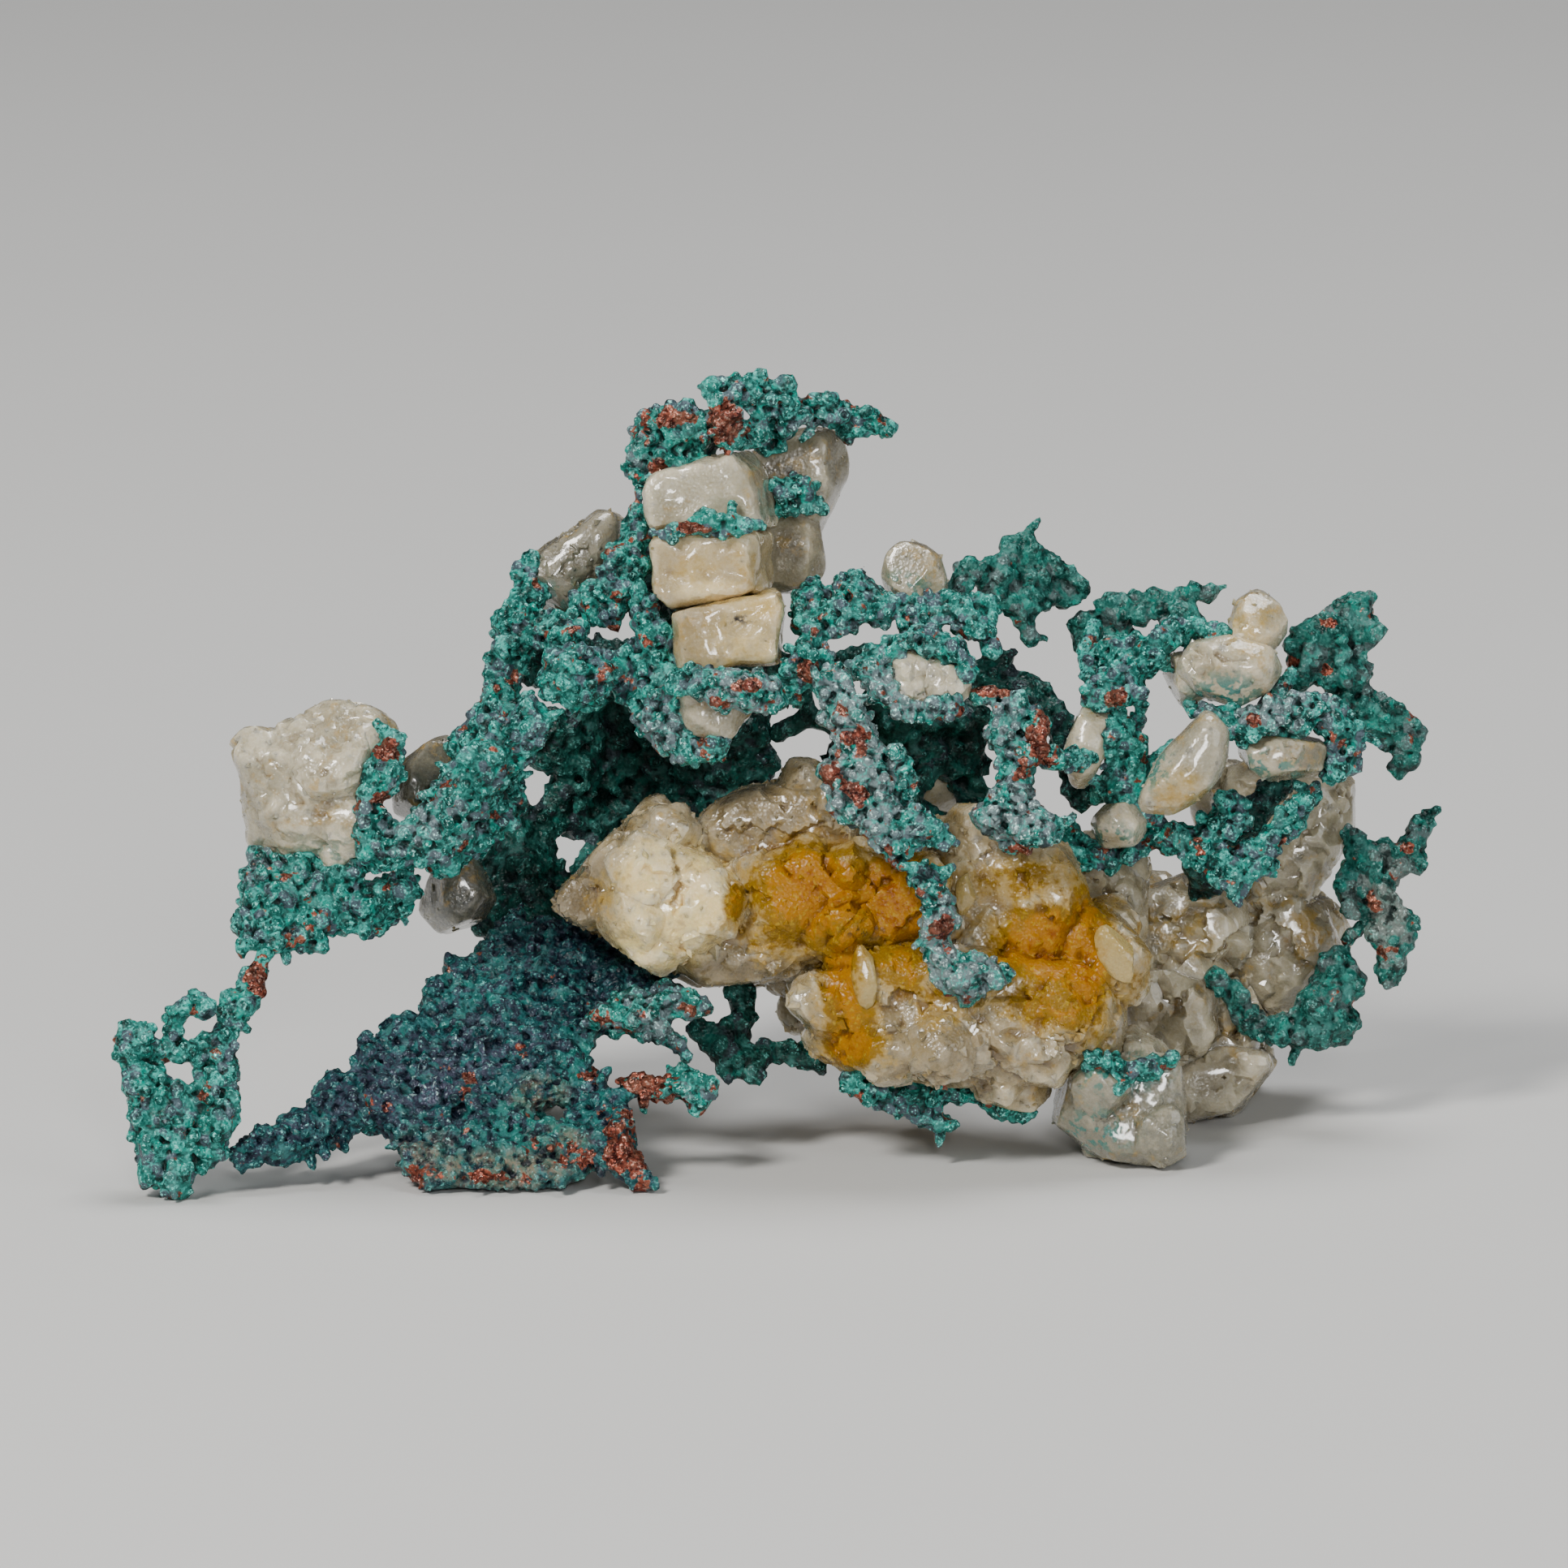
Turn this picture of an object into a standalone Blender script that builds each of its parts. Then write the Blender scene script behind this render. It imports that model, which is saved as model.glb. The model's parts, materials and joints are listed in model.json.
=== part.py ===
"""Native copper on quartz: branching copper grown over and between blocks of milky quartz.

Shapes are laid out as they are seen from the front, in millimetres: across to the right, up, and
deep away from the viewer, who looks down by VIEW_TILT_DEG. place() turns such a point into the
part's own frame. Copper is a string of beads along each branch, fused into one lumpy solid.
Quartz is a set of convex lumps, joined where they grew together. Each piece gives way to the
pieces made before it, by CONTACT_GAP.
"""
import math
import random

import bmesh
import bpy
from mathutils import Matrix, Vector
from mathutils.geometry import intersect_point_tri_2d

# Driving dimensions, in millimetres unless the name says otherwise
MM = 0.001
VIEW_TILT_DEG = 12.0
CENTRE_ACROSS = -0.09
CENTRE_DEEP = 10.1
CONTACT_GAP = 0.32
BEAD_GAP = 0.32
BEAD_STEP = 0.55
BEAD_JITTER = 0.22
KNOB_SHARE = 0.35
KNOB_SIZE = 0.6
SMALLEST_BEAD = 0.2
KNOB_REACH = 0.85
BEAD_SPREAD = (0.8, 1.12)
SHEET_PITCH = 0.85
SHEET_ROW_SHARE = 0.87
SHEET_JITTER = 0.18
SHEET_BEAD = 0.62
SHEET_BEAD_SPREAD = (0.85, 1.2)
VOXEL = 0.2
COPPER_TRIANGLES_PER_MM2 = 2.8
QUARTZ_TRIANGLES_PER_MM2 = 1.7
WALL_DENSITY = 0.55
SAME_POINT = 0.002
GROUND_BOX = 60.0
LUMP_JITTER = 0.14
LUMP_FRONT = 0.72
LUMP_BACK = 0.6
LUMP_RINGS = ((0.14, 0.92), (0.4, 1.0), (0.72, 0.94))
BLOCK_BEVEL = 0.3
BLOCK_NEAR_SIZE = 0.93
BLOCK_FAR_SIZE = 0.9
DRUSE_RADIUS = (0.7, 1.4)
DRUSE_HEIGHT = (0.4, 1.0)
DRUSE_ROOT = 0.8
DRUSE_SHOULDER = 0.35
DRUSE_LEAN = 0.5

# The leaf: how far back its foot is, and how steeply it leans back
LEAF_FOOT_DEEP = 1.5
LEAF_LEAN = 0.75

# Finishes: colour, roughness, metallic
GREEN_COPPER = ((0.16, 0.42, 0.38), 0.6, 0.25)
MINT_COPPER = ((0.24, 0.50, 0.45), 0.6, 0.2)
BLUE_COPPER = ((0.20, 0.34, 0.38), 0.55, 0.3)
DARK_COPPER = ((0.06, 0.20, 0.19), 0.7, 0.2)
MILKY_QUARTZ = ((0.80, 0.76, 0.68), 0.35, 0.0)
YELLOW_QUARTZ = ((0.80, 0.72, 0.50), 0.35, 0.0)
STAINED_QUARTZ = ((0.78, 0.60, 0.34), 0.4, 0.0)
GREY_QUARTZ = ((0.62, 0.62, 0.58), 0.35, 0.0)

quartz_lumps = []
copper_beads = []


def place(across, up, deep):
    """The part's own point, in millimetres, for a point laid out as seen from the front."""
    tilt = math.radians(VIEW_TILT_DEG)
    back = deep * math.cos(tilt) + up * math.sin(tilt) - CENTRE_DEEP
    height = up * math.cos(tilt) - deep * math.sin(tilt)
    return Vector((across - CENTRE_ACROSS, back, height))


def finish_material(name, finish):
    """A plain material of its own for one node."""
    colour, roughness, metallic = finish
    material = bpy.data.materials.new(name + "_finish")
    material.use_nodes = True
    shader = material.node_tree.nodes["Principled BSDF"]
    shader.inputs["Base Color"].default_value = (*colour, 1.0)
    shader.inputs["Roughness"].default_value = roughness
    shader.inputs["Metallic"].default_value = metallic
    material.diffuse_color = (*colour, 1.0)
    return material


def temporary(mesh):
    """A scene object for a mesh that is still being worked on."""
    obj = bpy.data.objects.new("working", mesh)
    bpy.context.collection.objects.link(obj)
    return obj


def applied(obj):
    """The object's mesh with its modifiers applied; the object goes."""
    graph = bpy.context.evaluated_depsgraph_get()
    mesh = bpy.data.meshes.new_from_object(obj.evaluated_get(graph))
    bpy.data.objects.remove(obj, do_unlink=True)
    return mesh


def tidied(mesh):
    """The mesh in triangles, with points that lie on each other made one."""
    shape = bmesh.new()
    shape.from_mesh(mesh)
    bmesh.ops.remove_doubles(shape, verts=shape.verts, dist=SAME_POINT)
    bmesh.ops.dissolve_degenerate(shape, dist=SAME_POINT, edges=shape.edges)
    bmesh.ops.triangulate(shape, faces=shape.faces)
    shape.to_mesh(mesh)
    shape.free()
    return mesh


def combined(mesh, other, operation):
    """One mesh cut by another, or joined with it."""
    base = temporary(mesh)
    tool = temporary(other)
    boolean = base.modifiers.new("boolean", "BOOLEAN")
    boolean.operation = operation
    boolean.solver = "EXACT"
    boolean.object = tool
    result = tidied(applied(base))
    bpy.data.objects.remove(tool, do_unlink=True)
    return result


def hull(points):
    """The convex solid round a set of points."""
    shape = bmesh.new()
    for point in points:
        shape.verts.new(point)
    bmesh.ops.convex_hull(shape, input=shape.verts)
    loose = [vert for vert in shape.verts if not vert.link_faces]
    bmesh.ops.delete(shape, geom=loose, context="VERTS")
    bmesh.ops.triangulate(shape, faces=shape.faces)
    bmesh.ops.recalc_face_normals(shape, faces=shape.faces)
    mesh = bpy.data.meshes.new("hull")
    shape.to_mesh(mesh)
    shape.free()
    return mesh


def box_of(points):
    """Lowest and highest corners of a set of points."""
    low = Vector([min(point[axis] for point in points) for axis in range(3)])
    high = Vector([max(point[axis] for point in points) for axis in range(3)])
    return low, high


def boxes_meet(first, second):
    """Whether two boxes overlap."""
    return all(first[0][axis] < second[1][axis] and second[0][axis] < first[1][axis] for axis in range(3))


def grown(points, gap):
    """The same points spread outwards from their middle by about the gap along each axis."""
    low, high = box_of(points)
    middle = (low + high) / 2
    scale = [1 + gap / max((high[axis] - low[axis]) / 2, gap) for axis in range(3)]
    return [Vector([middle[axis] + (point[axis] - middle[axis]) * scale[axis] for axis in range(3)])
            for point in points]


def signed_volume(faces):
    """Six times the volume inside a set of triangles."""
    return sum(face.verts[0].co.dot(face.verts[1].co.cross(face.verts[2].co)) for face in faces)


def linked_faces(start, seen):
    """All faces joined to one face."""
    found = []
    waiting = [start]
    seen.add(start)
    while waiting:
        face = waiting.pop()
        found.append(face)
        for edge in face.edges:
            for beside in edge.link_faces:
                if beside not in seen:
                    seen.add(beside)
                    waiting.append(beside)
    return found


def largest_piece(mesh):
    """The mesh with its crumbs removed, in triangles."""
    shape = bmesh.new()
    shape.from_mesh(mesh)
    bmesh.ops.triangulate(shape, faces=shape.faces)
    seen = set()
    pieces = [linked_faces(face, seen) for face in shape.faces if face not in seen]
    pieces.sort(key=signed_volume, reverse=True)
    crumbs = [face for piece in pieces[1:] for face in piece]
    if crumbs:
        bmesh.ops.delete(shape, geom=crumbs, context="FACES")
    shape.to_mesh(mesh)
    shape.free()
    return mesh


def simplified(mesh, triangles_per_mm2):
    """The same shape with about this many triangles to each square millimetre."""
    area = sum(polygon.area for polygon in mesh.polygons)
    share = area * triangles_per_mm2 / len(mesh.polygons)
    if share >= 1:
        return mesh
    obj = temporary(mesh)
    decimate = obj.modifiers.new("decimate", "DECIMATE")
    decimate.ratio = share
    return applied(obj)


def cut_by_quartz(mesh):
    """The mesh cut back from the quartz made so far."""
    for points in quartz_lumps:
        own_box = box_of([vert.co for vert in mesh.vertices])
        if boxes_meet(own_box, box_of(points)):
            mesh = combined(mesh, hull(points), "DIFFERENCE")
    return mesh


def cut_flat_on_ground(mesh):
    """The mesh with all that lies below the ground removed."""
    if min(vert.co.z for vert in mesh.vertices) >= 0:
        return mesh
    half = GROUND_BOX / 2
    corners = [Vector((x, y, z)) for x in (-half, half) for y in (-half, half) for z in (-half, 0)]
    return combined(mesh, hull(corners), "DIFFERENCE")


def finished(name, mesh, finish, smooth):
    """The named node, in metres, with its own material."""
    mesh = largest_piece(mesh)
    mesh.transform(Matrix.Scale(MM, 4))
    mesh.name = name
    mesh.materials.clear()
    mesh.materials.append(finish_material(name, finish))
    if smooth:
        mesh.shade_smooth()
    else:
        mesh.shade_flat()
    obj = bpy.data.objects.new(name, mesh)
    bpy.context.collection.objects.link(obj)
    return obj


# Quartz


def lump(outline, near, far, back=LUMP_BACK):
    """Points of one convex lump: its outline seen from the front, from its near to its far side."""
    chance = random.Random(str(outline))
    middle = (sum(point[0] for point in outline) / len(outline),
              sum(point[1] for point in outline) / len(outline))
    rings = [(0.0, LUMP_FRONT), *LUMP_RINGS, (1.0, back)]
    points = []
    for share, size in rings:
        for across, up in outline:
            rough = [chance.uniform(-LUMP_JITTER, LUMP_JITTER) for _ in range(3)]
            points.append(place(middle[0] + (across - middle[0]) * size + rough[0],
                                middle[1] + (up - middle[1]) * size + rough[1],
                                near + (far - near) * share + rough[2]))
    return points


def block(outline, near, far, shift):
    """Points of one squarish crystal, whose back is shifted from its front."""
    middle = (sum(point[0] for point in outline) / len(outline),
              sum(point[1] for point in outline) / len(outline))
    rings = [(near, BLOCK_NEAR_SIZE), (near + BLOCK_BEVEL, 1.0), (far - BLOCK_BEVEL, 1.0),
             (far, BLOCK_FAR_SIZE)]
    points = []
    for deep, size in rings:
        moved = (deep - near) / (far - near)
        for across, up in outline:
            points.append(place(middle[0] + (across - middle[0]) * size + shift[0] * moved,
                                middle[1] + (up - middle[1]) * size + shift[1] * moved, deep))
    return points


def druse_crystal(root, normal, chance):
    """Points of one small six-sided crystal with a point, standing on a surface."""
    radius = chance.uniform(*DRUSE_RADIUS)
    height = chance.uniform(*DRUSE_HEIGHT)
    lean = Vector([chance.uniform(-DRUSE_LEAN, DRUSE_LEAN) for _ in range(3)])
    axis = (normal + lean).normalized()
    side = axis.orthogonal().normalized()
    other = axis.cross(side)
    turn = chance.uniform(0, math.pi / 3)
    points = [root + axis * height]
    for corner in range(6):
        angle = turn + corner * math.pi / 3
        out = (side * math.cos(angle) + other * math.sin(angle)) * radius
        points.append(root + out - axis * DRUSE_ROOT)
        points.append(root + out + axis * height * DRUSE_SHOULDER)
    return points


def surface_spots(mesh, count, chance):
    """Points and normals spread over a mesh by area."""
    mesh.calc_loop_triangles()
    triangles = list(mesh.loop_triangles)
    picked = chance.choices(triangles, weights=[tri.area for tri in triangles], k=count)
    spots = []
    for tri in picked:
        first, second, third = [mesh.vertices[index].co.copy() for index in tri.vertices]
        u, v = sorted((chance.random(), chance.random()))
        spots.append((first * u + second * (v - u) + third * (1 - v), tri.normal.copy()))
    return spots


def quartz(name, lumps, finish=MILKY_QUARTZ, druse=0):
    """A quartz node: lumps grown together, with small crystals standing on them."""
    chance = random.Random(name)
    mesh = hull(lumps[0])
    for points in lumps[1:]:
        mesh = combined(mesh, hull(points), "UNION")
    crystals = [druse_crystal(root, normal, chance) for root, normal in surface_spots(mesh, druse, chance)]
    for points in crystals:
        mesh = combined(mesh, hull(points), "UNION")
    if druse:
        mesh = simplified(largest_piece(mesh), QUARTZ_TRIANGLES_PER_MM2)
    mesh = cut_by_quartz(mesh)
    mesh = cut_flat_on_ground(mesh)
    quartz_lumps.extend(grown(points, CONTACT_GAP) for points in lumps + crystals)
    return finished(name, mesh, finish, smooth=False)


def matrix_front():
    """The large stained mass in the middle."""
    pointed_end = [(-8.45, 11.1), (-7.3, 12.9), (-6.0, 13.7), (-4.6, 14.4), (-3.0, 13.9), (-2.5, 12.0),
                   (-6.0, 9.6), (-8.0, 10.2)]
    white_lobe = [(-6.8, 12.3), (-5.2, 13.5), (-3.6, 12.6), (-2.2, 12.3), (-1.3, 11.2), (-1.6, 9.6),
                  (-3.6, 9.1), (-5.2, 9.2), (-6.6, 10.4)]
    underside = [(-4.9, 9.4), (-3.4, 8.4), (-2.2, 8.05), (0.5, 8.3), (1.5, 9.4)]
    top_ridge = [(-3.8, 13.2), (-2.6, 14.5), (-1.6, 15.0), (-0.4, 15.2), (2.0, 15.0), (3.5, 14.0),
                 (3.0, 12.0), (-2.0, 12.0)]
    ridge_point = [(-0.3, 14.6), (0.3, 16.0), (1.2, 16.0), (2.0, 15.0), (1.8, 13.8), (0.0, 13.6)]
    stained_centre = [(-1.8, 12.5), (0.5, 13.3), (3.5, 13.5), (6.0, 12.8), (6.5, 9.5), (4.0, 8.8),
                      (0.5, 8.6), (-1.8, 9.2)]
    right_shoulder = [(5.5, 14.0), (7.5, 13.6), (10.3, 12.9), (11.0, 11.9), (11.2, 11.0), (10.5, 8.0),
                      (6.5, 8.0), (5.8, 11.0)]
    right_end = [(10.2, 11.3), (11.2, 11.0), (12.2, 10.2), (13.0, 9.5), (12.8, 8.0), (11.0, 7.0),
                 (9.0, 8.0)]
    lower_lobe = [(1.5, 9.3), (4.5, 9.6), (8.0, 9.2), (11.9, 8.5), (12.6, 6.8), (12.4, 5.5),
                  (10.6, 4.7), (8.3, 4.1), (4.8, 4.4), (2.2, 4.7), (1.4, 6.0)]
    lower_tooth = [(0.1, 7.4), (1.4, 6.0), (3.0, 6.0), (3.0, 8.4), (0.8, 8.1)]
    bottom_knob = [(8.6, 5.4), (9.0, 4.5), (10.0, 4.4), (10.5, 5.2), (10.2, 6.1), (9.0, 6.2)]
    hidden_back = [(-3.5, 12.0), (-1.0, 13.6), (4.0, 13.4), (8.5, 11.8), (9.5, 8.0), (7.0, 5.6),
                   (1.0, 6.6), (-2.5, 9.3)]
    quartz("quartz_matrix_front", [
        lump(stained_centre, 3.2, 9.0),
        lump(white_lobe, 2.6, 7.1),
        lump(pointed_end, 4.0, 8.8),
        lump(underside, 4.15, 8.1),
        lump(top_ridge, 4.5, 9.35),
        lump(ridge_point, 4.8, 8.6),
        lump(right_shoulder, 3.65, 9.6),
        lump(right_end, 4.3, 9.2),
        lump(lower_lobe, 2.8, 9.1),
        lump(lower_tooth, 3.4, 6.9),
        lump(bottom_knob, 2.55, 5.0),
        lump(hidden_back, 7.2, 12.5),
    ], STAINED_QUARTZ, druse=46)


def matrix_back():
    """The pale lumps behind the main mass, at the right, with one on the ground."""
    beside_main = [(11.3, 12.3), (12.3, 12.6), (13.3, 11.9), (13.4, 9.5), (12.5, 8.0), (11.0, 9.0)]
    middle_pale = [(13.0, 11.0), (15.6, 11.8), (17.0, 10.9), (17.4, 9.0), (16.0, 7.6), (13.0, 7.6)]
    right_pale = [(16.6, 10.5), (18.3, 12.0), (19.5, 11.3), (20.3, 10.3), (20.6, 9.2), (19.8, 7.5),
                  (18.5, 6.6), (16.8, 8.0)]
    low_grey = [(12.2, 8.2), (14.3, 8.1), (15.9, 7.6), (16.0, 6.6), (14.9, 6.0), (13.2, 6.3),
                (12.5, 7.2)]
    upper_right = [(16.3, 15.4), (17.7, 16.0), (19.6, 16.0), (21.0, 15.3), (21.1, 13.5), (20.5, 12.4),
                   (19.5, 10.8), (18.0, 11.0), (16.4, 13.6)]
    link_down = [(13.6, 8.2), (17.8, 8.0), (18.0, 5.4), (17.0, 4.4), (14.6, 4.4), (13.4, 6.0)]
    ground_lump = [(14.5, 4.3), (16.5, 5.4), (18.2, 5.2), (17.9, 4.5), (17.0, 3.9), (16.8, 3.1),
                   (15.0, 2.9), (14.4, 3.3)]
    quartz("quartz_matrix_back", [
        lump(middle_pale, 11.0, 16.5),
        lump(right_pale, 12.0, 17.5),
        lump(beside_main, 9.2, 13.5),
        lump(low_grey, 10.2, 14.0),
        lump(upper_right, 11.6, 15.5),
        lump(link_down, 11.6, 17.0),
        lump(ground_lump, 11.0, 18.0, back=0.95),
    ], GREY_QUARTZ, druse=14)


def foot_right():
    """The lump low at the right, cut flat where it stands on the ground."""
    body = [(10.0, 4.0), (9.9, 2.9), (11.2, 2.0), (12.2, 1.3), (13.0, 1.0), (13.9, 1.2), (14.2, 2.1),
             (15.0, 2.9), (15.2, 4.8), (13.9, 5.6), (12.0, 5.4)]
    sole = [(11.4, 2.4), (12.2, 1.1), (13.9, 0.9), (14.4, 2.6)]
    quartz("quartz_foot_right", [lump(body, 4.4, 8.4), lump(sole, 5.0, 8.8)], druse=6)


def tower_crystals():
    """The four stacked blocks of the tower, parted by copper."""
    top = [(-5.1, 26.0), (-5.0, 26.5), (-4.2, 26.8), (-1.9, 27.4), (-1.3, 26.8), (-1.0, 24.9),
           (-4.9, 24.75)]
    middle = [(-4.9, 24.0), (-4.8, 24.25), (-1.2, 24.35), (-1.2, 22.45), (-4.3, 21.8), (-4.7, 22.3)]
    lower = [(-4.0, 21.5), (-0.4, 22.2), (-0.2, 21.8), (-0.3, 19.9), (-3.8, 19.5)]
    foot = [(-3.7, 19.1), (-1.1, 19.3), (-1.1, 18.3), (-2.2, 16.9), (-3.3, 17.3), (-3.7, 18.2)]
    quartz("tower_crystal_lower", [block(lower, 2.2, 5.6, (0.1, 0.1))], YELLOW_QUARTZ)
    quartz("tower_crystal_middle", [block(middle, 2.8, 6.2, (0.7, 0.1))], YELLOW_QUARTZ)
    quartz("tower_crystal_top", [block(top, 3.3, 6.4, (0.7, 0.1))])
    quartz("tower_crystal_foot", [lump(foot, 2.0, 4.6)])


def crown_crystal():
    """The grey crystal behind the tower's top, in two lobes."""
    main = [(-1.3, 27.3), (0.2, 28.2), (1.5, 28.5), (2.0, 27.9), (2.1, 27.0), (1.6, 26.3), (1.0, 24.5),
            (0.0, 24.6), (-0.9, 26.0)]
    lower = [(-0.6, 25.2), (0.9, 25.3), (1.0, 24.0), (1.2, 23.2), (0.6, 22.7), (-0.4, 22.8),
             (-0.6, 23.4)]
    quartz("crown_crystal_right", [lump(main, 6.9, 9.6), lump(lower, 6.7, 8.8)], GREY_QUARTZ)


def side_crystals():
    """Single blocks on the left shoulder, on the cradle, on the canopy and in the loop."""
    left = [(-19.9, 15.8), (-19.5, 16.6), (-18.9, 17.1), (-16.6, 18.1), (-15.0, 17.9), (-14.5, 17.4),
            (-14.6, 16.5), (-15.4, 15.0), (-16.0, 12.9), (-18.6, 12.6), (-19.4, 13.2), (-19.5, 14.5)]
    tooth = [(-17.2, 13.6), (-16.7, 12.2), (-15.9, 12.4), (-15.5, 13.2), (-15.6, 14.5)]
    shoulder = [(-9.6, 23.3), (-8.4, 23.7), (-7.8, 24.5), (-7.0, 25.2), (-6.2, 25.2), (-6.1, 24.3),
                (-7.2, 22.0), (-8.4, 21.7), (-9.3, 22.4)]
    perched = [(3.9, 23.6), (4.3, 23.9), (5.2, 23.9), (5.6, 23.5), (5.8, 22.6), (5.6, 22.0),
               (4.2, 22.1), (3.9, 22.7)]
    loop_left = [(3.9, 19.7), (4.6, 20.1), (5.3, 19.8), (5.4, 19.0), (5.1, 18.2), (4.7, 18.0),
                 (4.1, 18.8)]
    loop_right = [(5.2, 19.6), (6.2, 19.6), (6.6, 19.2), (6.6, 18.6), (6.0, 18.3), (5.2, 18.6)]
    quartz("left_crystal", [lump(left, 2.6, 6.5), lump(tooth, 2.9, 5.0)], druse=5)
    quartz("shoulder_crystal", [lump(shoulder, 6.0, 9.0)], GREY_QUARTZ)
    quartz("perched_crystal", [lump(perched, 4.0, 6.2)])
    quartz("loop_crystal", [lump(loop_left, 1.5, 3.6), lump(loop_right, 1.6, 3.4)])


def thicket_crystals():
    """Blocks held among the branches at the right."""
    blade = [(13.4, 14.6), (14.2, 14.3), (15.6, 15.2), (16.2, 16.2), (16.2, 17.2), (15.8, 17.7),
             (15.2, 17.0), (14.2, 16.0)]
    oval = [(16.8, 16.3), (17.5, 16.8), (18.5, 17.0), (19.6, 16.8), (20.2, 16.3), (19.3, 15.8),
            (18.0, 15.7)]
    top = [(14.9, 19.6), (15.3, 20.3), (16.5, 20.5), (17.9, 20.2), (18.2, 19.6), (17.8, 18.9),
           (16.8, 18.4), (15.4, 18.8)]
    top_knob = [(16.9, 21.2), (17.1, 21.9), (17.7, 22.2), (18.4, 21.6), (18.3, 20.8), (17.6, 20.0),
                (16.8, 20.2)]
    top_shade = [(13.8, 19.0), (14.2, 19.8), (15.2, 19.9), (15.6, 18.8), (14.6, 18.3)]
    small = [(11.5, 13.7), (12.1, 14.3), (13.0, 14.3), (13.3, 13.8), (12.9, 13.3), (12.0, 13.2)]
    slender = [(10.9, 15.3), (11.4, 15.8), (12.0, 17.2), (11.8, 18.0), (11.2, 17.9), (10.8, 16.6)]
    quartz("thicket_crystal_blade", [lump(blade, 4.2, 6.2)])
    quartz("thicket_crystal_oval", [lump(oval, 5.9, 8.0)], GREY_QUARTZ)
    quartz("thicket_crystal_top", [lump(top, 5.5, 8.2), lump(top_knob, 6.4, 8.3), lump(top_shade, 6.8, 8.6)])
    quartz("thicket_crystal_small", [lump(small, 6.0, 7.8)])
    quartz("thicket_crystal_slender", [lump(slender, 5.9, 7.6)])


def arch_crystals():
    """Grey blocks under and behind the left arch."""
    hanging = [(-13.2, 10.6), (-13.0, 11.4), (-12.4, 12.8), (-11.7, 12.7), (-11.2, 11.7),
               (-11.1, 10.8), (-11.6, 10.1), (-12.7, 10.0)]
    rear = [(-14.2, 15.9), (-13.5, 16.1), (-12.6, 16.5), (-12.3, 16.8), (-12.0, 15.0), (-13.2, 13.7),
            (-14.1, 14.4)]
    quartz("arch_crystal_hanging", [lump(hanging, 8.8, 12.2)], GREY_QUARTZ)
    quartz("arch_crystal_rear", [lump(rear, 4.2, 7.2)], GREY_QUARTZ)


def rear_crystals():
    """Blocks on the back of the copper."""
    left = [(-7.6, 13.6), (-7.0, 16.4), (-5.2, 17.6), (-3.4, 16.8), (-2.9, 14.4), (-4.4, 12.9)]
    right = [(3.0, 15.2), (3.4, 17.6), (5.2, 18.2), (6.6, 16.9), (6.3, 14.8), (4.4, 14.1)]
    quartz("rear_crystal_left", [lump(left, 14.4, 17.6)], druse=4)
    quartz("rear_crystal_right", [lump(right, 12.6, 15.6)], druse=4)


# Copper


def stroke_beads(stroke, chance):
    """Beads along one branch, given as points with a radius each, with small knobs on them."""
    stops = []
    for start, end in zip(stroke, stroke[1:]):
        length = math.dist(start[:3], end[:3])
        steps = max(1, math.ceil(length / (BEAD_STEP * (start[3] + end[3]) / 2)))
        for step in range(steps):
            share = step / steps
            stops.append([first + (second - first) * share for first, second in zip(start, end)])
    stops.append(list(stroke[-1]))
    beads = []
    for across, up, deep, radius in stops:
        shove = Vector([chance.uniform(-1, 1) for _ in range(3)]) * radius * BEAD_JITTER
        centre = place(across, up, deep) + shove
        size = radius * chance.uniform(*BEAD_SPREAD)
        beads.append((centre, size))
        if chance.random() < KNOB_SHARE:
            out = Vector([chance.gauss(0, 1) for _ in range(3)]).normalized()
            beads.append((centre + out * size * KNOB_REACH, size * KNOB_SIZE))
    return beads


def inside(outline, across, up):
    """Whether a point lies inside an outline, counting the fan of triangles that cover it."""
    point = Vector((across, up))
    hub = Vector(outline[0])
    hits = 0
    for first, second in zip(outline[1:], outline[2:]):
        if intersect_point_tri_2d(point, hub, Vector(first), Vector(second)) != 0:
            hits += 1
    return hits % 2 == 1


def sheet_beads(outline, holes, depth, chance):
    """Beads over a thin curved sheet: its outline and holes seen from the front."""
    low = [min(point[axis] for point in outline) for axis in range(2)]
    high = [max(point[axis] for point in outline) for axis in range(2)]
    row_pitch = SHEET_PITCH * SHEET_ROW_SHARE
    rows = math.ceil((high[1] - low[1]) / row_pitch) + 1
    columns = math.ceil((high[0] - low[0]) / SHEET_PITCH) + 1
    beads = []
    for row in range(rows):
        for column in range(columns):
            rough = [chance.uniform(-SHEET_JITTER, SHEET_JITTER) for _ in range(3)]
            across = low[0] + (column + 0.5 * (row % 2)) * SHEET_PITCH + rough[0]
            up = low[1] + row * row_pitch + rough[1]
            size = SHEET_BEAD * chance.uniform(*SHEET_BEAD_SPREAD)
            in_hole = any(math.dist((across, up), hole[:2]) < hole[2] for hole in holes)
            if inside(outline, across, up) and not in_hole:
                beads.append((place(across, up, depth(across, up) + rough[2]), size))
    return beads


def beside_earlier(beads):
    """The beads that keep clear of the copper made before, some of them made smaller."""
    kept = []
    for centre, size in beads:
        room = min(((centre - other).length - width for other, width in copper_beads), default=size * 9)
        size = min(size, room - BEAD_GAP)
        if size > SMALLEST_BEAD:
            kept.append((centre, size))
    return kept


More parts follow.
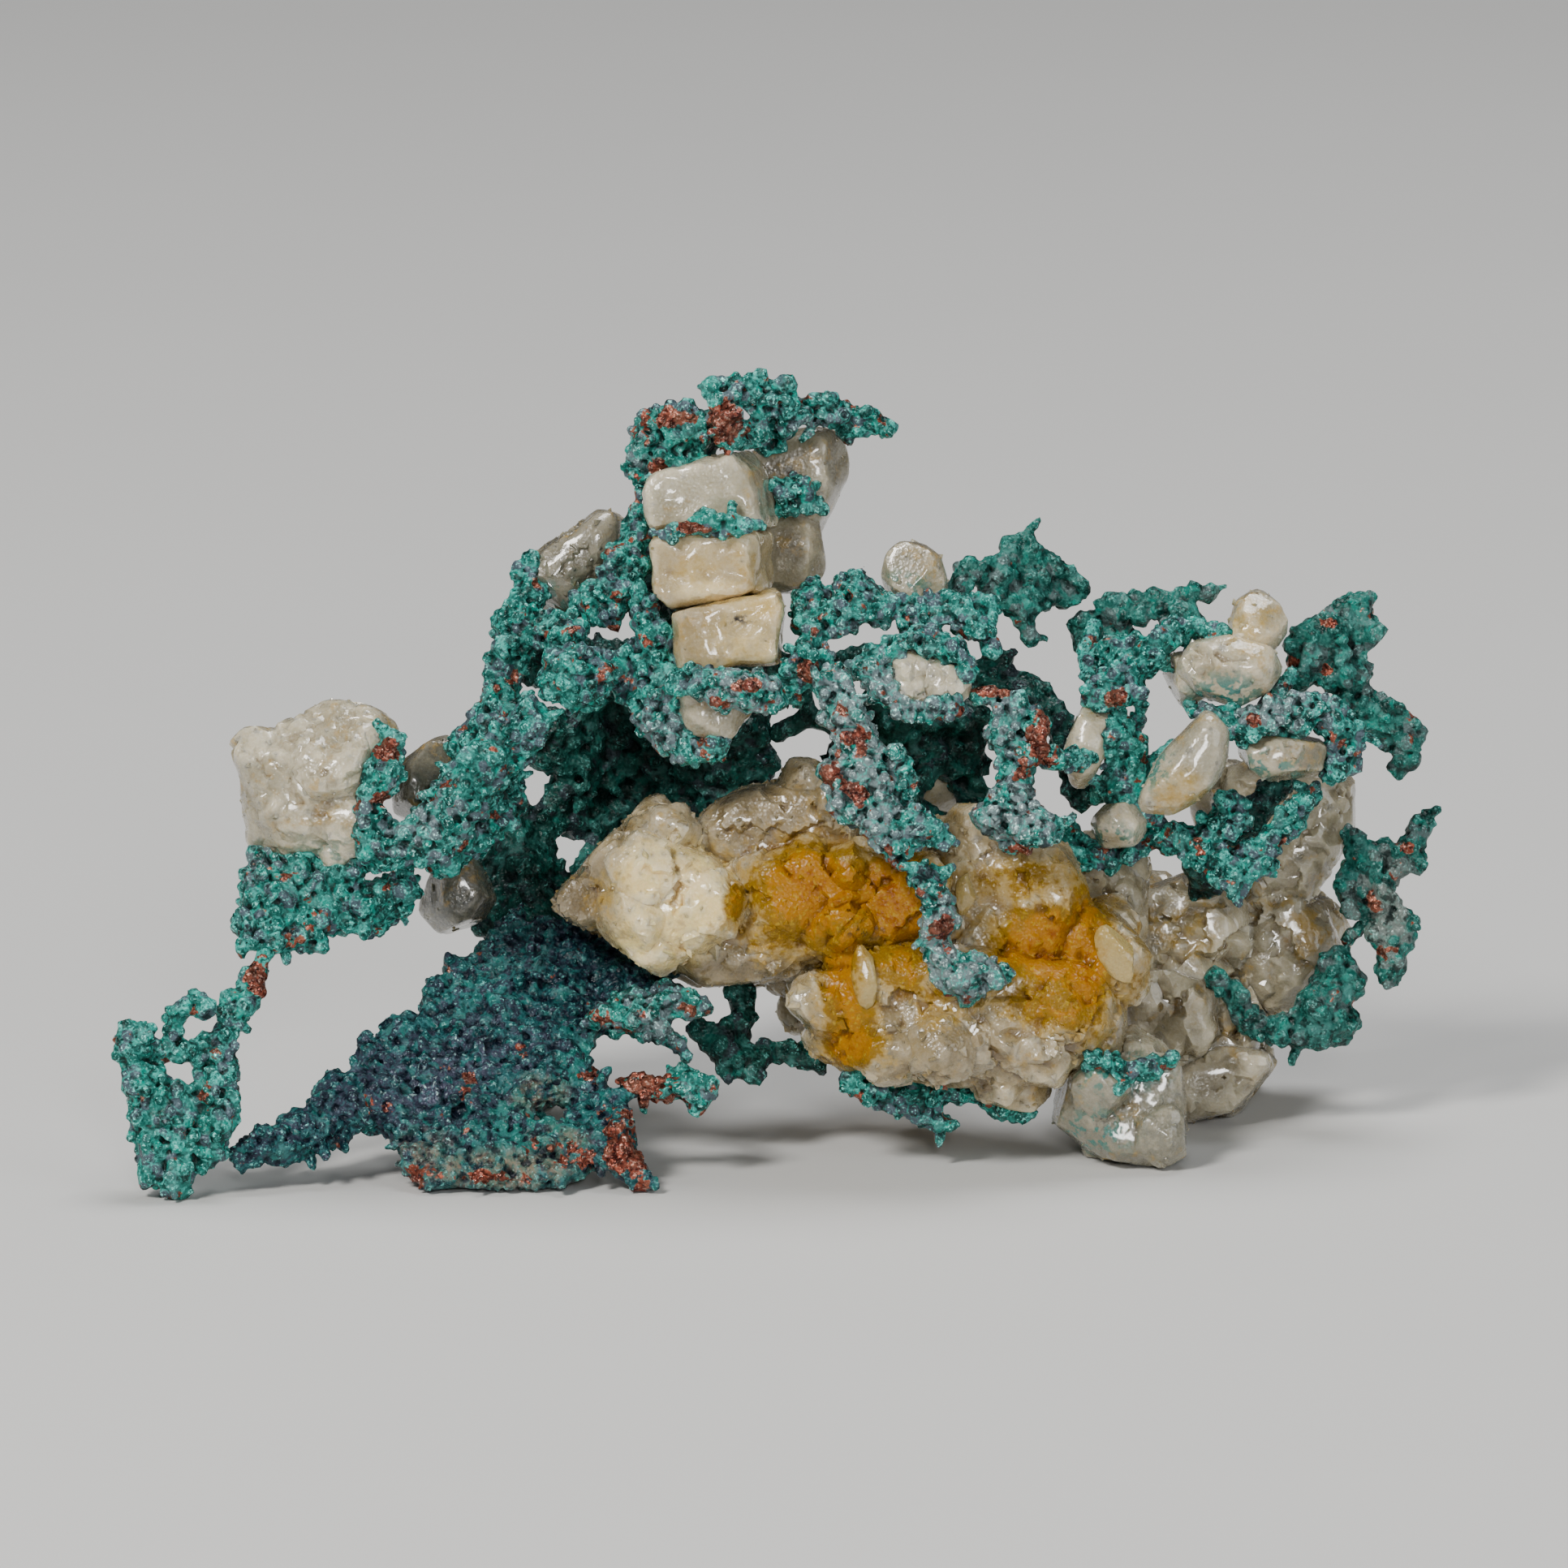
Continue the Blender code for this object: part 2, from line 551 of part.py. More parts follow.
def bead_mesh(beads):
    """One mesh of small balls that overlap."""
    ball = bmesh.new()
    bmesh.ops.create_icosphere(ball, subdivisions=2, radius=1.0)
    corners = [vert.co.copy() for vert in ball.verts]
    sides = [[vert.index for vert in face.verts] for face in ball.faces]
    ball.free()
    points = []
    faces = []
    for centre, size in beads:
        start = len(points)
        points.extend(centre + corner * size for corner in corners)
        faces.extend([start + index for index in side] for side in sides)
    mesh = bpy.data.meshes.new("beads")
    mesh.from_pydata(points, [], faces)
    return mesh


def fused(mesh):
    """The beads fused into one lumpy skin."""
    skin = temporary(mesh)
    remesh = skin.modifiers.new("remesh", "REMESH")
    remesh.mode = "VOXEL"
    remesh.voxel_size = VOXEL
    return largest_piece(applied(skin))


def copper(name, strokes, finish=GREEN_COPPER, sheets=(), density=1.0):
    """A copper node: its branches and sheets, cut back from the quartz and the ground."""
    chance = random.Random(name)
    beads = []
    for stroke in strokes:
        beads.extend(stroke_beads(stroke, chance))
    for outline, holes, depth in sheets:
        beads.extend(sheet_beads(outline, holes, depth, chance))
    beads = beside_earlier(beads)
    mesh = simplified(fused(bead_mesh(beads)), COPPER_TRIANGLES_PER_MM2 * density)
    mesh = cut_by_quartz(mesh)
    mesh = cut_flat_on_ground(mesh)
    copper_beads.extend(beads)
    return finished(name, mesh, finish, smooth=True)


def left_leg():
    """The thin leg at the far left, the cradle under the left crystal, and the arm up from it."""
    copper("copper_left_foot", [
        [(-23.2, 0.9, 0.2, 0.55), (-23.1, 2.4, 0.3, 0.72), (-23.2, 3.8, 0.5, 0.7), (-23.8, 5.2, 0.6, 0.65),
         (-24.0, 6.0, 0.6, 0.6), (-23.4, 6.3, 0.5, 0.4)],
        [(-22.3, 0.25, 0.1, 0.55), (-22.2, 1.5, 0.2, 0.7), (-22.3, 3.6, 0.5, 0.75)],
        [(-21.2, 1.4, 0.2, 0.5), (-21.0, 2.4, 0.3, 0.75), (-20.8, 3.7, 0.5, 0.78), (-20.6, 4.8, 0.8, 0.6),
         (-20.6, 5.6, 1.0, 0.5)],
        [(-20.8, 5.5, 1.0, 0.45), (-21.6, 5.4, 0.9, 0.4), (-22.4, 5.6, 0.7, 0.4), (-22.5, 6.2, 0.6, 0.35),
         (-22.2, 6.9, 0.5, 0.38), (-21.6, 7.3, 0.5, 0.33), (-21.3, 7.2, 0.4, 0.28)],
        [(-20.6, 5.6, 1.0, 0.5), (-20.2, 6.7, 1.5, 0.55), (-19.8, 7.4, 1.9, 0.5), (-19.3, 8.2, 2.3, 0.45)],
    ])
    copper("copper_left_cradle", [
        [(-19.1, 8.9, 2.6, 0.5), (-19.0, 9.6, 2.8, 0.8), (-19.2, 10.5, 3.0, 0.8), (-19.3, 11.6, 3.2, 0.7),
         (-19.3, 12.4, 3.4, 0.55)],
        [(-18.4, 9.6, 2.8, 0.7), (-17.6, 9.7, 2.8, 0.55), (-17.1, 9.6, 2.8, 0.45)],
        [(-18.6, 10.6, 3.0, 0.8), (-18.2, 11.6, 3.2, 0.85), (-17.9, 12.3, 3.4, 0.6)],
        [(-17.6, 10.6, 3.0, 0.5), (-16.6, 10.6, 3.6, 0.75), (-15.4, 10.7, 4.0, 0.85), (-14.5, 11.0, 4.0, 0.8),
         (-13.9, 11.6, 3.8, 0.6)],
        [(-17.6, 11.4, 3.4, 0.6), (-16.9, 11.8, 3.4, 0.6), (-16.0, 12.0, 3.2, 0.6)],
    ])
    copper("copper_left_arm", [
        [(-15.3, 12.0, 2.8, 0.65), (-14.4, 12.8, 2.6, 0.85), (-13.2, 13.1, 2.5, 0.9), (-12.2, 14.2, 2.5, 0.9),
         (-11.5, 15.2, 2.5, 0.95), (-10.6, 16.3, 2.6, 0.9), (-9.8, 17.2, 2.6, 0.85), (-9.4, 17.6, 2.6, 0.9)],
        [(-12.8, 12.3, 3.4, 0.5), (-11.4, 13.4, 3.6, 0.8), (-10.4, 14.3, 4.0, 0.7), (-10.3, 15.6, 3.8, 0.6)],
        [(-12.0, 16.5, 3.8, 0.5), (-11.4, 17.0, 3.6, 0.6), (-10.8, 17.9, 3.6, 0.6), (-10.5, 18.7, 3.4, 0.5)],
        [(-11.4, 17.0, 3.6, 0.6), (-10.6, 16.5, 3.0, 0.6)],
        [(-15.2, 12.3, 2.4, 0.5), (-15.4, 12.9, 2.0, 0.5), (-15.3, 13.9, 1.9, 0.45), (-15.1, 14.9, 1.9, 0.45),
         (-14.7, 15.6, 2.0, 0.55), (-14.5, 16.4, 2.0, 0.6), (-14.6, 16.9, 2.1, 0.35)],
    ])


def left_shoulder():
    """The knot of copper where the arm meets the tower."""
    copper("copper_shoulder_front", [
        [(-8.5, 18.9, 2.4, 0.95), (-7.9, 19.4, 2.3, 1.0), (-7.2, 19.7, 2.4, 0.8)],
        [(-8.1, 18.6, 2.3, 0.8), (-7.4, 18.8, 2.3, 0.9), (-6.8, 18.7, 2.4, 0.6)],
    ])
    copper("copper_shoulder_outer", [
        [(-10.3, 18.4, 4.6, 0.6), (-10.3, 19.4, 5.0, 0.6), (-10.1, 20.2, 5.2, 0.8), (-9.8, 21.2, 5.4, 0.75),
         (-9.3, 21.8, 5.6, 0.6), (-9.5, 22.6, 5.8, 0.5), (-9.6, 23.3, 6.0, 0.4), (-9.3, 23.7, 6.0, 0.3)],
        [(-10.0, 20.4, 5.0, 0.7), (-9.2, 20.9, 5.0, 0.55), (-8.5, 21.2, 4.6, 0.6), (-7.9, 20.7, 4.2, 0.7),
         (-7.5, 20.2, 3.6, 0.5)],
    ])
    copper("copper_shoulder_inner", [
        [(-7.9, 21.9, 5.0, 0.5), (-6.8, 22.0, 4.8, 0.6), (-6.2, 22.6, 4.6, 0.8), (-5.7, 23.3, 4.6, 0.75),
         (-5.4, 24.0, 4.8, 0.55), (-5.4, 24.8, 4.7, 0.45), (-5.4, 25.6, 4.6, 0.35)],
        [(-7.2, 21.1, 4.6, 0.5), (-6.6, 21.5, 4.5, 0.55), (-6.4, 22.2, 4.6, 0.6)],
    ])


def tower_copper():
    """Copper beside, between and behind the tower's blocks."""
    copper("copper_tower_side", [
        [(-5.1, 22.2, 3.6, 0.5), (-5.0, 21.3, 3.5, 0.55), (-4.9, 20.4, 3.4, 0.6), (-4.7, 19.4, 3.2, 0.75),
         (-5.0, 18.6, 3.2, 0.85), (-4.5, 17.9, 3.0, 0.7), (-4.9, 17.3, 3.0, 0.5)],
        [(-6.0, 19.9, 3.6, 0.45), (-5.9, 19.2, 3.6, 0.5), (-5.5, 18.6, 3.5, 0.6)],
        [(-4.5, 17.6, 2.8, 0.6), (-4.1, 16.9, 2.7, 0.6), (-3.6, 16.4, 2.6, 0.55), (-3.0, 16.4, 2.4, 0.5),
         (-2.4, 16.7, 2.4, 0.45)],
    ])
    copper("copper_tower_band", [
        [(-3.9, 19.0, 1.6, 0.5), (-3.2, 19.1, 1.4, 0.55), (-2.4, 18.9, 1.1, 0.6), (-1.6, 18.8, 1.0, 0.65),
         (-0.8, 18.8, 1.1, 0.6), (-0.4, 18.4, 1.4, 0.42)],
        [(-0.8, 18.6, 1.2, 0.4), (-0.9, 18.1, 1.3, 0.4)],
    ])
    copper("copper_tower_seam", [
        [(-4.6, 24.5, 2.6, 0.3), (-3.6, 24.6, 2.4, 0.32), (-3.0, 24.8, 2.35, 0.4), (-2.3, 24.9, 2.3, 0.42),
         (-1.5, 24.8, 2.4, 0.36)],
    ])
    copper("copper_tower_spine", [
        [(-5.2, 21.9, 6.4, 0.55), (-4.6, 22.6, 6.9, 0.6), (-4.2, 24.0, 7.2, 0.65), (-3.8, 26.0, 7.3, 0.65),
         (-3.2, 27.6, 6.6, 0.6), (-2.6, 28.6, 5.8, 0.55)],
        [(-4.2, 24.0, 7.2, 0.5), (-3.0, 24.3, 7.8, 0.5), (-1.8, 24.4, 8.0, 0.5)],
        [(-5.0, 22.2, 6.8, 0.6), (-4.6, 21.3, 8.4, 0.65), (-4.4, 20.7, 10.0, 0.7), (-4.3, 20.4, 11.2, 0.6)],
        [(-4.5, 21.1, 8.8, 0.55), (-3.0, 20.2, 8.4, 0.6), (-1.4, 20.0, 7.6, 0.55), (0.0, 19.6, 6.4, 0.5),
         (0.4, 19.4, 4.6, 0.5)],
    ], DARK_COPPER)


def crown():
    """The ragged top of the tower."""
    copper("copper_crown_left", [
        [(-5.1, 26.5, 4.6, 0.36), (-5.4, 27.0, 5.0, 0.42), (-5.3, 27.8, 5.0, 0.5), (-5.0, 28.5, 4.9, 0.5),
         (-4.6, 28.8, 4.6, 0.5), (-4.0, 28.8, 4.4, 0.5), (-3.5, 28.9, 4.4, 0.45)],
        [(-4.9, 28.3, 4.6, 0.5), (-4.6, 27.6, 4.6, 0.55), (-4.5, 27.0, 4.6, 0.4)],
        [(-3.9, 28.2, 4.5, 0.4), (-4.0, 27.4, 4.8, 0.35)],
        [(-3.1, 28.6, 4.4, 0.4), (-3.0, 27.9, 4.6, 0.35), (-3.1, 27.4, 4.8, 0.3)],
        [(-3.5, 28.9, 4.4, 0.45), (-3.1, 28.6, 4.4, 0.4)],
    ])
    copper("copper_crown_top", [
        [(-3.5, 29.5, 4.6, 0.45), (-2.8, 29.8, 4.4, 0.6), (-1.9, 29.9, 4.4, 0.55), (-1.3, 30.0, 4.5, 0.5),
         (-0.6, 29.9, 4.7, 0.5), (-0.1, 29.5, 5.0, 0.55), (0.2, 28.9, 5.4, 0.5)],
        [(-2.5, 29.4, 4.2, 0.55), (-2.3, 28.8, 4.0, 0.55), (-2.2, 28.3, 3.8, 0.5), (-2.2, 27.9, 3.6, 0.4)],
        [(-1.0, 29.4, 4.6, 0.38), (-0.9, 28.8, 4.6, 0.35), (-0.8, 28.4, 4.6, 0.28)],
        [(0.2, 29.0, 5.4, 0.45), (0.4, 29.0, 6.0, 0.45), (1.0, 29.1, 6.4, 0.45), (1.9, 29.0, 6.6, 0.55),
         (2.8, 28.8, 6.6, 0.5), (3.4, 28.7, 6.6, 0.38), (3.9, 28.5, 6.5, 0.3)],
        [(2.2, 28.8, 6.6, 0.5), (2.3, 28.4, 6.6, 0.45), (2.4, 28.1, 6.6, 0.35)],
        [(0.4, 28.9, 6.0, 0.4), (-0.2, 28.3, 6.2, 0.45), (-0.6, 27.9, 6.2, 0.5)],
    ])
    copper("copper_crown_tuft", [
        [(-0.8, 26.3, 6.2, 0.45), (-0.3, 26.0, 6.0, 0.6), (0.4, 26.2, 5.9, 0.55), (0.9, 25.9, 6.0, 0.42),
         (1.4, 25.5, 6.1, 0.3)],
        [(-0.3, 26.0, 6.0, 0.55), (-0.4, 25.5, 6.0, 0.42)],
        [(0.4, 26.1, 5.9, 0.5), (0.5, 25.5, 6.0, 0.45)],
    ])


def canopy():
    """The copper above the main quartz, and the branches that hang in front of it."""
    copper("copper_front_branch", [
        [(1.7, 19.3, 1.2, 0.5), (1.9, 18.8, 1.1, 0.55), (2.3, 18.0, 1.0, 0.6), (2.7, 17.2, 0.9, 0.65),
         (2.8, 16.5, 0.8, 0.65)],
        [(2.8, 16.5, 0.8, 0.6), (2.4, 16.0, 0.8, 0.6), (1.9, 15.6, 0.8, 0.55), (2.1, 14.8, 0.9, 0.65),
         (2.5, 14.4, 0.9, 0.6)],
        [(2.9, 16.2, 0.8, 0.6), (3.4, 15.4, 0.7, 0.5), (3.5, 14.5, 0.7, 0.6), (3.3, 13.7, 0.8, 0.6),
         (4.0, 13.6, 0.7, 0.6), (4.3, 12.8, 0.8, 0.55)],
        [(3.4, 16.0, 0.7, 0.55), (4.1, 16.0, 0.8, 0.5), (4.5, 15.6, 0.9, 0.45), (4.6, 15.1, 0.9, 0.4)],
        [(4.0, 14.2, 0.7, 0.5), (5.0, 13.8, 0.7, 0.6), (5.6, 13.3, 0.8, 0.5), (6.1, 13.3, 1.0, 0.3)],
    ])
    copper("copper_front_branch_tip", [
        [(4.6, 12.3, 0.9, 0.45), (5.3, 11.8, 1.0, 0.5), (5.6, 11.0, 1.3, 0.55), (5.8, 10.3, 1.5, 0.55),
         (5.5, 9.5, 1.7, 0.55), (5.8, 8.8, 1.8, 0.5), (6.2, 8.5, 1.9, 0.6)],
        [(6.0, 8.6, 1.9, 0.6), (6.7, 8.3, 1.9, 0.75), (7.4, 8.3, 1.9, 0.65), (8.0, 8.2, 2.0, 0.38)],
        [(6.4, 8.2, 1.9, 0.6), (7.0, 7.6, 2.0, 0.45)],
    ])
    copper("copper_loop", [
        [(2.5, 19.6, 1.9, 0.5), (3.1, 19.2, 1.6, 0.55), (3.8, 18.8, 1.3, 0.45), (4.3, 18.1, 1.3, 0.4),
         (4.8, 17.8, 1.3, 0.35), (5.3, 18.0, 1.2, 0.35), (6.0, 17.95, 1.3, 0.36), (6.6, 18.3, 1.5, 0.36)],
        [(2.9, 19.4, 1.8, 0.5), (3.4, 19.9, 1.7, 0.42), (4.2, 20.4, 1.6, 0.42), (5.0, 20.5, 1.6, 0.42),
         (6.0, 20.2, 1.6, 0.45), (6.6, 19.9, 1.7, 0.4), (6.9, 19.3, 1.8, 0.3)],
    ])
    copper("copper_canopy_ridge", [
        [(0.2, 18.4, 2.8, 0.45), (0.3, 19.3, 2.4, 0.55), (0.9, 19.6, 2.2, 0.6), (1.5, 19.8, 2.2, 0.5)],
        [(0.8, 19.7, 2.4, 0.55), (1.0, 20.4, 2.8, 0.5), (1.2, 21.2, 3.0, 0.5), (2.0, 21.3, 2.8, 0.6),
         (2.8, 21.6, 2.8, 0.55), (3.8, 21.7, 2.9, 0.5), (4.8, 21.7, 3.0, 0.5), (5.8, 21.8, 3.0, 0.5),
         (6.8, 21.8, 3.0, 0.5), (7.7, 21.9, 3.0, 0.38)],
        [(4.8, 21.3, 2.7, 0.4), (5.9, 21.0, 2.3, 0.45), (6.7, 21.2, 2.4, 0.45), (7.4, 20.9, 2.6, 0.45),
         (7.6, 20.5, 2.7, 0.3)],
        [(2.4, 21.8, 3.0, 0.45), (2.4, 22.3, 3.2, 0.4), (2.4, 22.7, 3.4, 0.42), (2.9, 23.1, 3.5, 0.28)],
        [(3.2, 21.9, 3.4, 0.5), (3.3, 22.2, 4.3, 0.5)],
        [(1.2, 21.2, 3.2, 0.5), (0.8, 21.4, 4.2, 0.55), (0.9, 22.1, 5.0, 0.5), (1.3, 22.6, 5.6, 0.45)],
    ])
    copper("copper_second_branch", [
        [(7.0, 18.5, 2.2, 0.35), (7.4, 18.6, 2.2, 0.38), (8.0, 18.5, 2.1, 0.38), (8.5, 18.2, 2.0, 0.4),
         (8.8, 17.9, 2.0, 0.45)],
        [(8.4, 17.9, 2.2, 0.6), (8.0, 17.1, 2.1, 0.6), (8.5, 16.6, 2.1, 0.5), (9.1, 16.6, 1.9, 0.4)],
        [(9.2, 17.8, 1.9, 0.38), (9.5, 17.2, 1.8, 0.38), (9.3, 16.4, 1.8, 0.4), (8.9, 15.9, 1.8, 0.42),
         (8.4, 15.4, 1.9, 0.55), (8.3, 14.7, 1.8, 0.7), (8.0, 13.9, 1.7, 0.8), (8.8, 13.7, 1.6, 0.85),
         (9.6, 13.6, 1.7, 0.6)],
        [(8.8, 13.6, 1.6, 0.6), (8.9, 12.95, 1.6, 0.32)],
        [(9.3, 16.4, 1.9, 0.35), (9.9, 16.2, 2.4, 0.32), (10.4, 16.1, 3.4, 0.34), (10.9, 16.0, 4.6, 0.36),
         (11.2, 16.2, 5.4, 0.38)],
    ])


def spiky_top():
    """The thin ragged sheet and bridge that reach up and right from the canopy."""
    copper("copper_spiky_sheet", [
        [(6.7, 22.5, 6.4, 0.38), (6.8, 23.2, 6.8, 0.42), (7.5, 22.9, 7.2, 0.45), (8.2, 23.3, 7.6, 0.5),
         (8.6, 23.8, 7.9, 0.45), (9.4, 23.6, 8.2, 0.42), (10.2, 23.3, 8.4, 0.45), (10.6, 22.6, 8.4, 0.45),
         (10.9, 22.2, 8.4, 0.45)],
        [(8.5, 23.9, 8.0, 0.38), (8.9, 24.3, 8.1, 0.3), (9.3, 24.75, 8.2, 0.26)],
        [(7.6, 22.9, 7.2, 0.45), (7.9, 22.4, 7.2, 0.5), (8.6, 21.9, 7.4, 0.5), (9.1, 21.2, 7.4, 0.42),
         (9.2, 20.8, 7.4, 0.32)],
        [(8.9, 23.3, 7.9, 0.45), (9.2, 22.6, 8.0, 0.5), (9.8, 22.3, 8.2, 0.5), (10.3, 22.3, 8.3, 0.45)],
        [(8.6, 21.9, 7.4, 0.45), (9.2, 22.4, 7.8, 0.5)],
        [(4.4, 21.5, 4.6, 0.45), (5.0, 21.4, 5.2, 0.5), (5.9, 21.8, 5.8, 0.45), (6.5, 22.3, 6.2, 0.42)],
    ], MINT_COPPER)
    copper("copper_spiky_bridge", [
        [(11.4, 22.1, 8.4, 0.42), (12.2, 21.9, 8.4, 0.55), (13.2, 21.8, 8.4, 0.5), (14.0, 21.9, 8.4, 0.42),
         (14.6, 22.2, 8.4, 0.36), (15.3, 22.4, 8.4, 0.3), (16.0, 22.55, 8.4, 0.25)],
        [(13.9, 21.8, 8.3, 0.45), (14.6, 21.6, 8.2, 0.5), (15.3, 21.3, 8.0, 0.42)],
        [(10.9, 21.4, 9.0, 0.55), (11.8, 21.0, 9.2, 0.6), (12.6, 20.7, 9.0, 0.55)],
        [(11.4, 22.0, 8.6, 0.45), (11.2, 21.4, 9.0, 0.55)],
    ], MINT_COPPER)


def thicket():
    """The tangle of branches at the right."""
    copper("copper_thicket_upper", [
        [(15.0, 21.0, 7.2, 0.45), (14.3, 20.9, 6.6, 0.5), (13.6, 20.0, 6.4, 0.55), (13.0, 19.5, 6.2, 0.6),
         (12.2, 19.1, 6.2, 0.5), (11.6, 18.6, 6.2, 0.45)],
        [(12.2, 19.0, 6.2, 0.4), (12.2, 18.4, 5.8, 0.34), (12.8, 18.4, 5.6, 0.32), (13.3, 18.5, 5.8, 0.28)],
        [(12.6, 20.2, 7.0, 0.5), (12.0, 20.3, 7.5, 0.5), (11.6, 19.6, 7.4, 0.42)],
        [(13.4, 19.9, 6.5, 0.5), (12.6, 20.2, 7.0, 0.5)],
        [(15.0, 21.0, 7.2, 0.45), (15.7, 21.3, 7.2, 0.48), (15.9, 20.8, 6.9, 0.42)],
    ])
    copper("copper_thicket_left", [
        [(12.3, 18.0, 6.6, 0.4), (12.4, 17.6, 6.6, 0.5), (12.4, 16.9, 6.4, 0.6), (13.0, 16.5, 6.6, 0.55),
         (12.9, 15.7, 6.8, 0.5), (12.1, 15.2, 6.8, 0.5), (12.6, 14.7, 6.8, 0.48), (13.4, 14.0, 7.0, 0.42)],
        [(13.0, 17.6, 7.2, 0.45), (12.6, 17.2, 6.8, 0.5)],
    ])
    copper("copper_thicket_middle", [
        [(15.7, 18.0, 6.0, 0.4), (16.3, 17.6, 5.8, 0.5), (17.0, 17.3, 5.7, 0.55), (17.8, 17.8, 5.9, 0.6),
         (18.7, 17.9, 6.2, 0.6), (19.4, 18.1, 6.4, 0.5), (20.2, 17.9, 6.6, 0.7), (20.9, 17.0, 7.0, 0.7),
         (20.7, 16.3, 7.0, 0.6), (20.3, 15.6, 7.0, 0.5)],
        [(18.7, 17.9, 6.2, 0.5), (19.2, 17.5, 6.2, 0.5)],
    ])
    copper("copper_thicket_lower", [
        [(13.2, 13.1, 7.4, 0.34), (14.2, 13.3, 7.0, 0.42), (14.9, 13.2, 6.8, 0.6), (15.6, 12.7, 6.6, 0.65),
         (16.4, 12.2, 6.4, 0.6), (16.7, 11.5, 6.4, 0.5)],
        [(16.4, 12.2, 6.4, 0.6), (17.2, 12.2, 6.4, 0.6), (17.9, 12.8, 6.6, 0.6), (18.4, 13.5, 6.8, 0.5),
         (19.0, 14.2, 7.0, 0.5), (19.4, 14.8, 7.2, 0.48)],
        [(15.4, 13.0, 6.6, 0.5), (16.2, 13.8, 6.4, 0.5), (16.5, 14.3, 6.4, 0.6), (17.0, 14.0, 6.4, 0.5)],
        [(13.6, 13.0, 7.2, 0.36), (12.6, 12.5, 7.4, 0.36), (11.8, 12.4, 7.4, 0.38), (10.9, 12.9, 7.6, 0.42),
         (10.5, 13.5, 7.8, 0.5)],
    ])
    copper("copper_thicket_root", [
        [(15.4, 12.6, 8.3, 0.55), (15.6, 12.4, 9.2, 0.65), (15.8, 11.9, 10.4, 0.65), (15.9, 11.2, 11.6, 0.6)],
        [(15.4, 12.6, 8.3, 0.55), (16.8, 13.6, 8.4, 0.5), (18.4, 15.0, 8.6, 0.5), (18.8, 16.4, 9.4, 0.5),
         (18.6, 17.8, 9.2, 0.55), (18.2, 18.8, 9.0, 0.5)],
    ], DARK_COPPER)
    copper("copper_right_branch", [
        [(18.9, 19.2, 8.0, 0.6), (19.2, 19.6, 8.3, 0.75), (19.6, 20.5, 8.6, 0.75), (20.4, 21.0, 8.8, 0.75),
         (21.2, 21.6, 9.0, 0.7), (21.6, 22.1, 9.0, 0.4)],
        [(21.2, 21.4, 9.0, 0.6), (21.7, 20.9, 9.0, 0.6)],
        [(19.8, 19.9, 8.6, 0.7), (20.4, 19.9, 8.8, 0.8), (21.2, 19.3, 9.0, 0.6), (21.0, 18.3, 9.0, 0.7),
         (21.9, 17.9, 9.2, 0.7), (22.7, 17.4, 9.3, 0.75), (23.3, 17.2, 9.3, 0.6), (23.2, 16.3, 9.3, 0.5),
         (22.9, 15.7, 9.3, 0.3)],
    ], MINT_COPPER)


def right_side():
    """The growth down the far right edge to the quartz at the back."""
    copper("copper_right_lower", [
        [(21.2, 13.4, 10.5, 0.42), (21.6, 12.5, 10.6, 0.5), (21.0, 11.6, 10.6, 0.5),
         (21.2, 10.5, 10.4, 0.45)],
        [(21.6, 12.3, 10.6, 0.5), (22.3, 11.6, 10.6, 0.5), (22.2, 10.7, 10.5, 0.55), (22.4, 9.9, 10.4, 0.55),
         (22.8, 9.2, 10.4, 0.6), (22.6, 8.1, 10.3, 0.5)],
        [(22.5, 10.2, 10.4, 0.6), (23.2, 9.7, 10.5, 0.6)],
        [(21.6, 12.6, 10.6, 0.5), (22.2, 12.5, 10.8, 0.5), (22.8, 12.4, 11.0, 0.5), (23.3, 12.2, 11.0, 0.55),
         (23.4, 12.9, 11.0, 0.42), (23.9, 13.5, 11.2, 0.4), (24.15, 14.1, 11.3, 0.42)],
    ], MINT_COPPER)
    copper("copper_right_base", [
        [(20.9, 8.9, 10.8, 0.5), (20.4, 8.0, 10.7, 0.65), (20.3, 7.2, 10.6, 0.8), (19.9, 6.2, 10.6, 0.85),
         (20.8, 6.1, 10.6, 0.9)],
        [(19.8, 6.2, 10.6, 0.7), (18.8, 6.0, 10.5, 0.6), (17.9, 6.1, 10.4, 0.6), (17.2, 6.7, 10.2, 0.5),
         (16.9, 7.5, 9.9, 0.42), (16.2, 7.8, 9.6, 0.34)],
        [(20.6, 8.0, 10.7, 0.6), (21.6, 7.8, 10.6, 0.6)],
    ], MINT_COPPER)


def leaf_depth(across, up):
    """How far back the leaf lies: it leans away as it rises."""
    return LEAF_FOOT_DEEP + (up - 1.0) * LEAF_LEAN


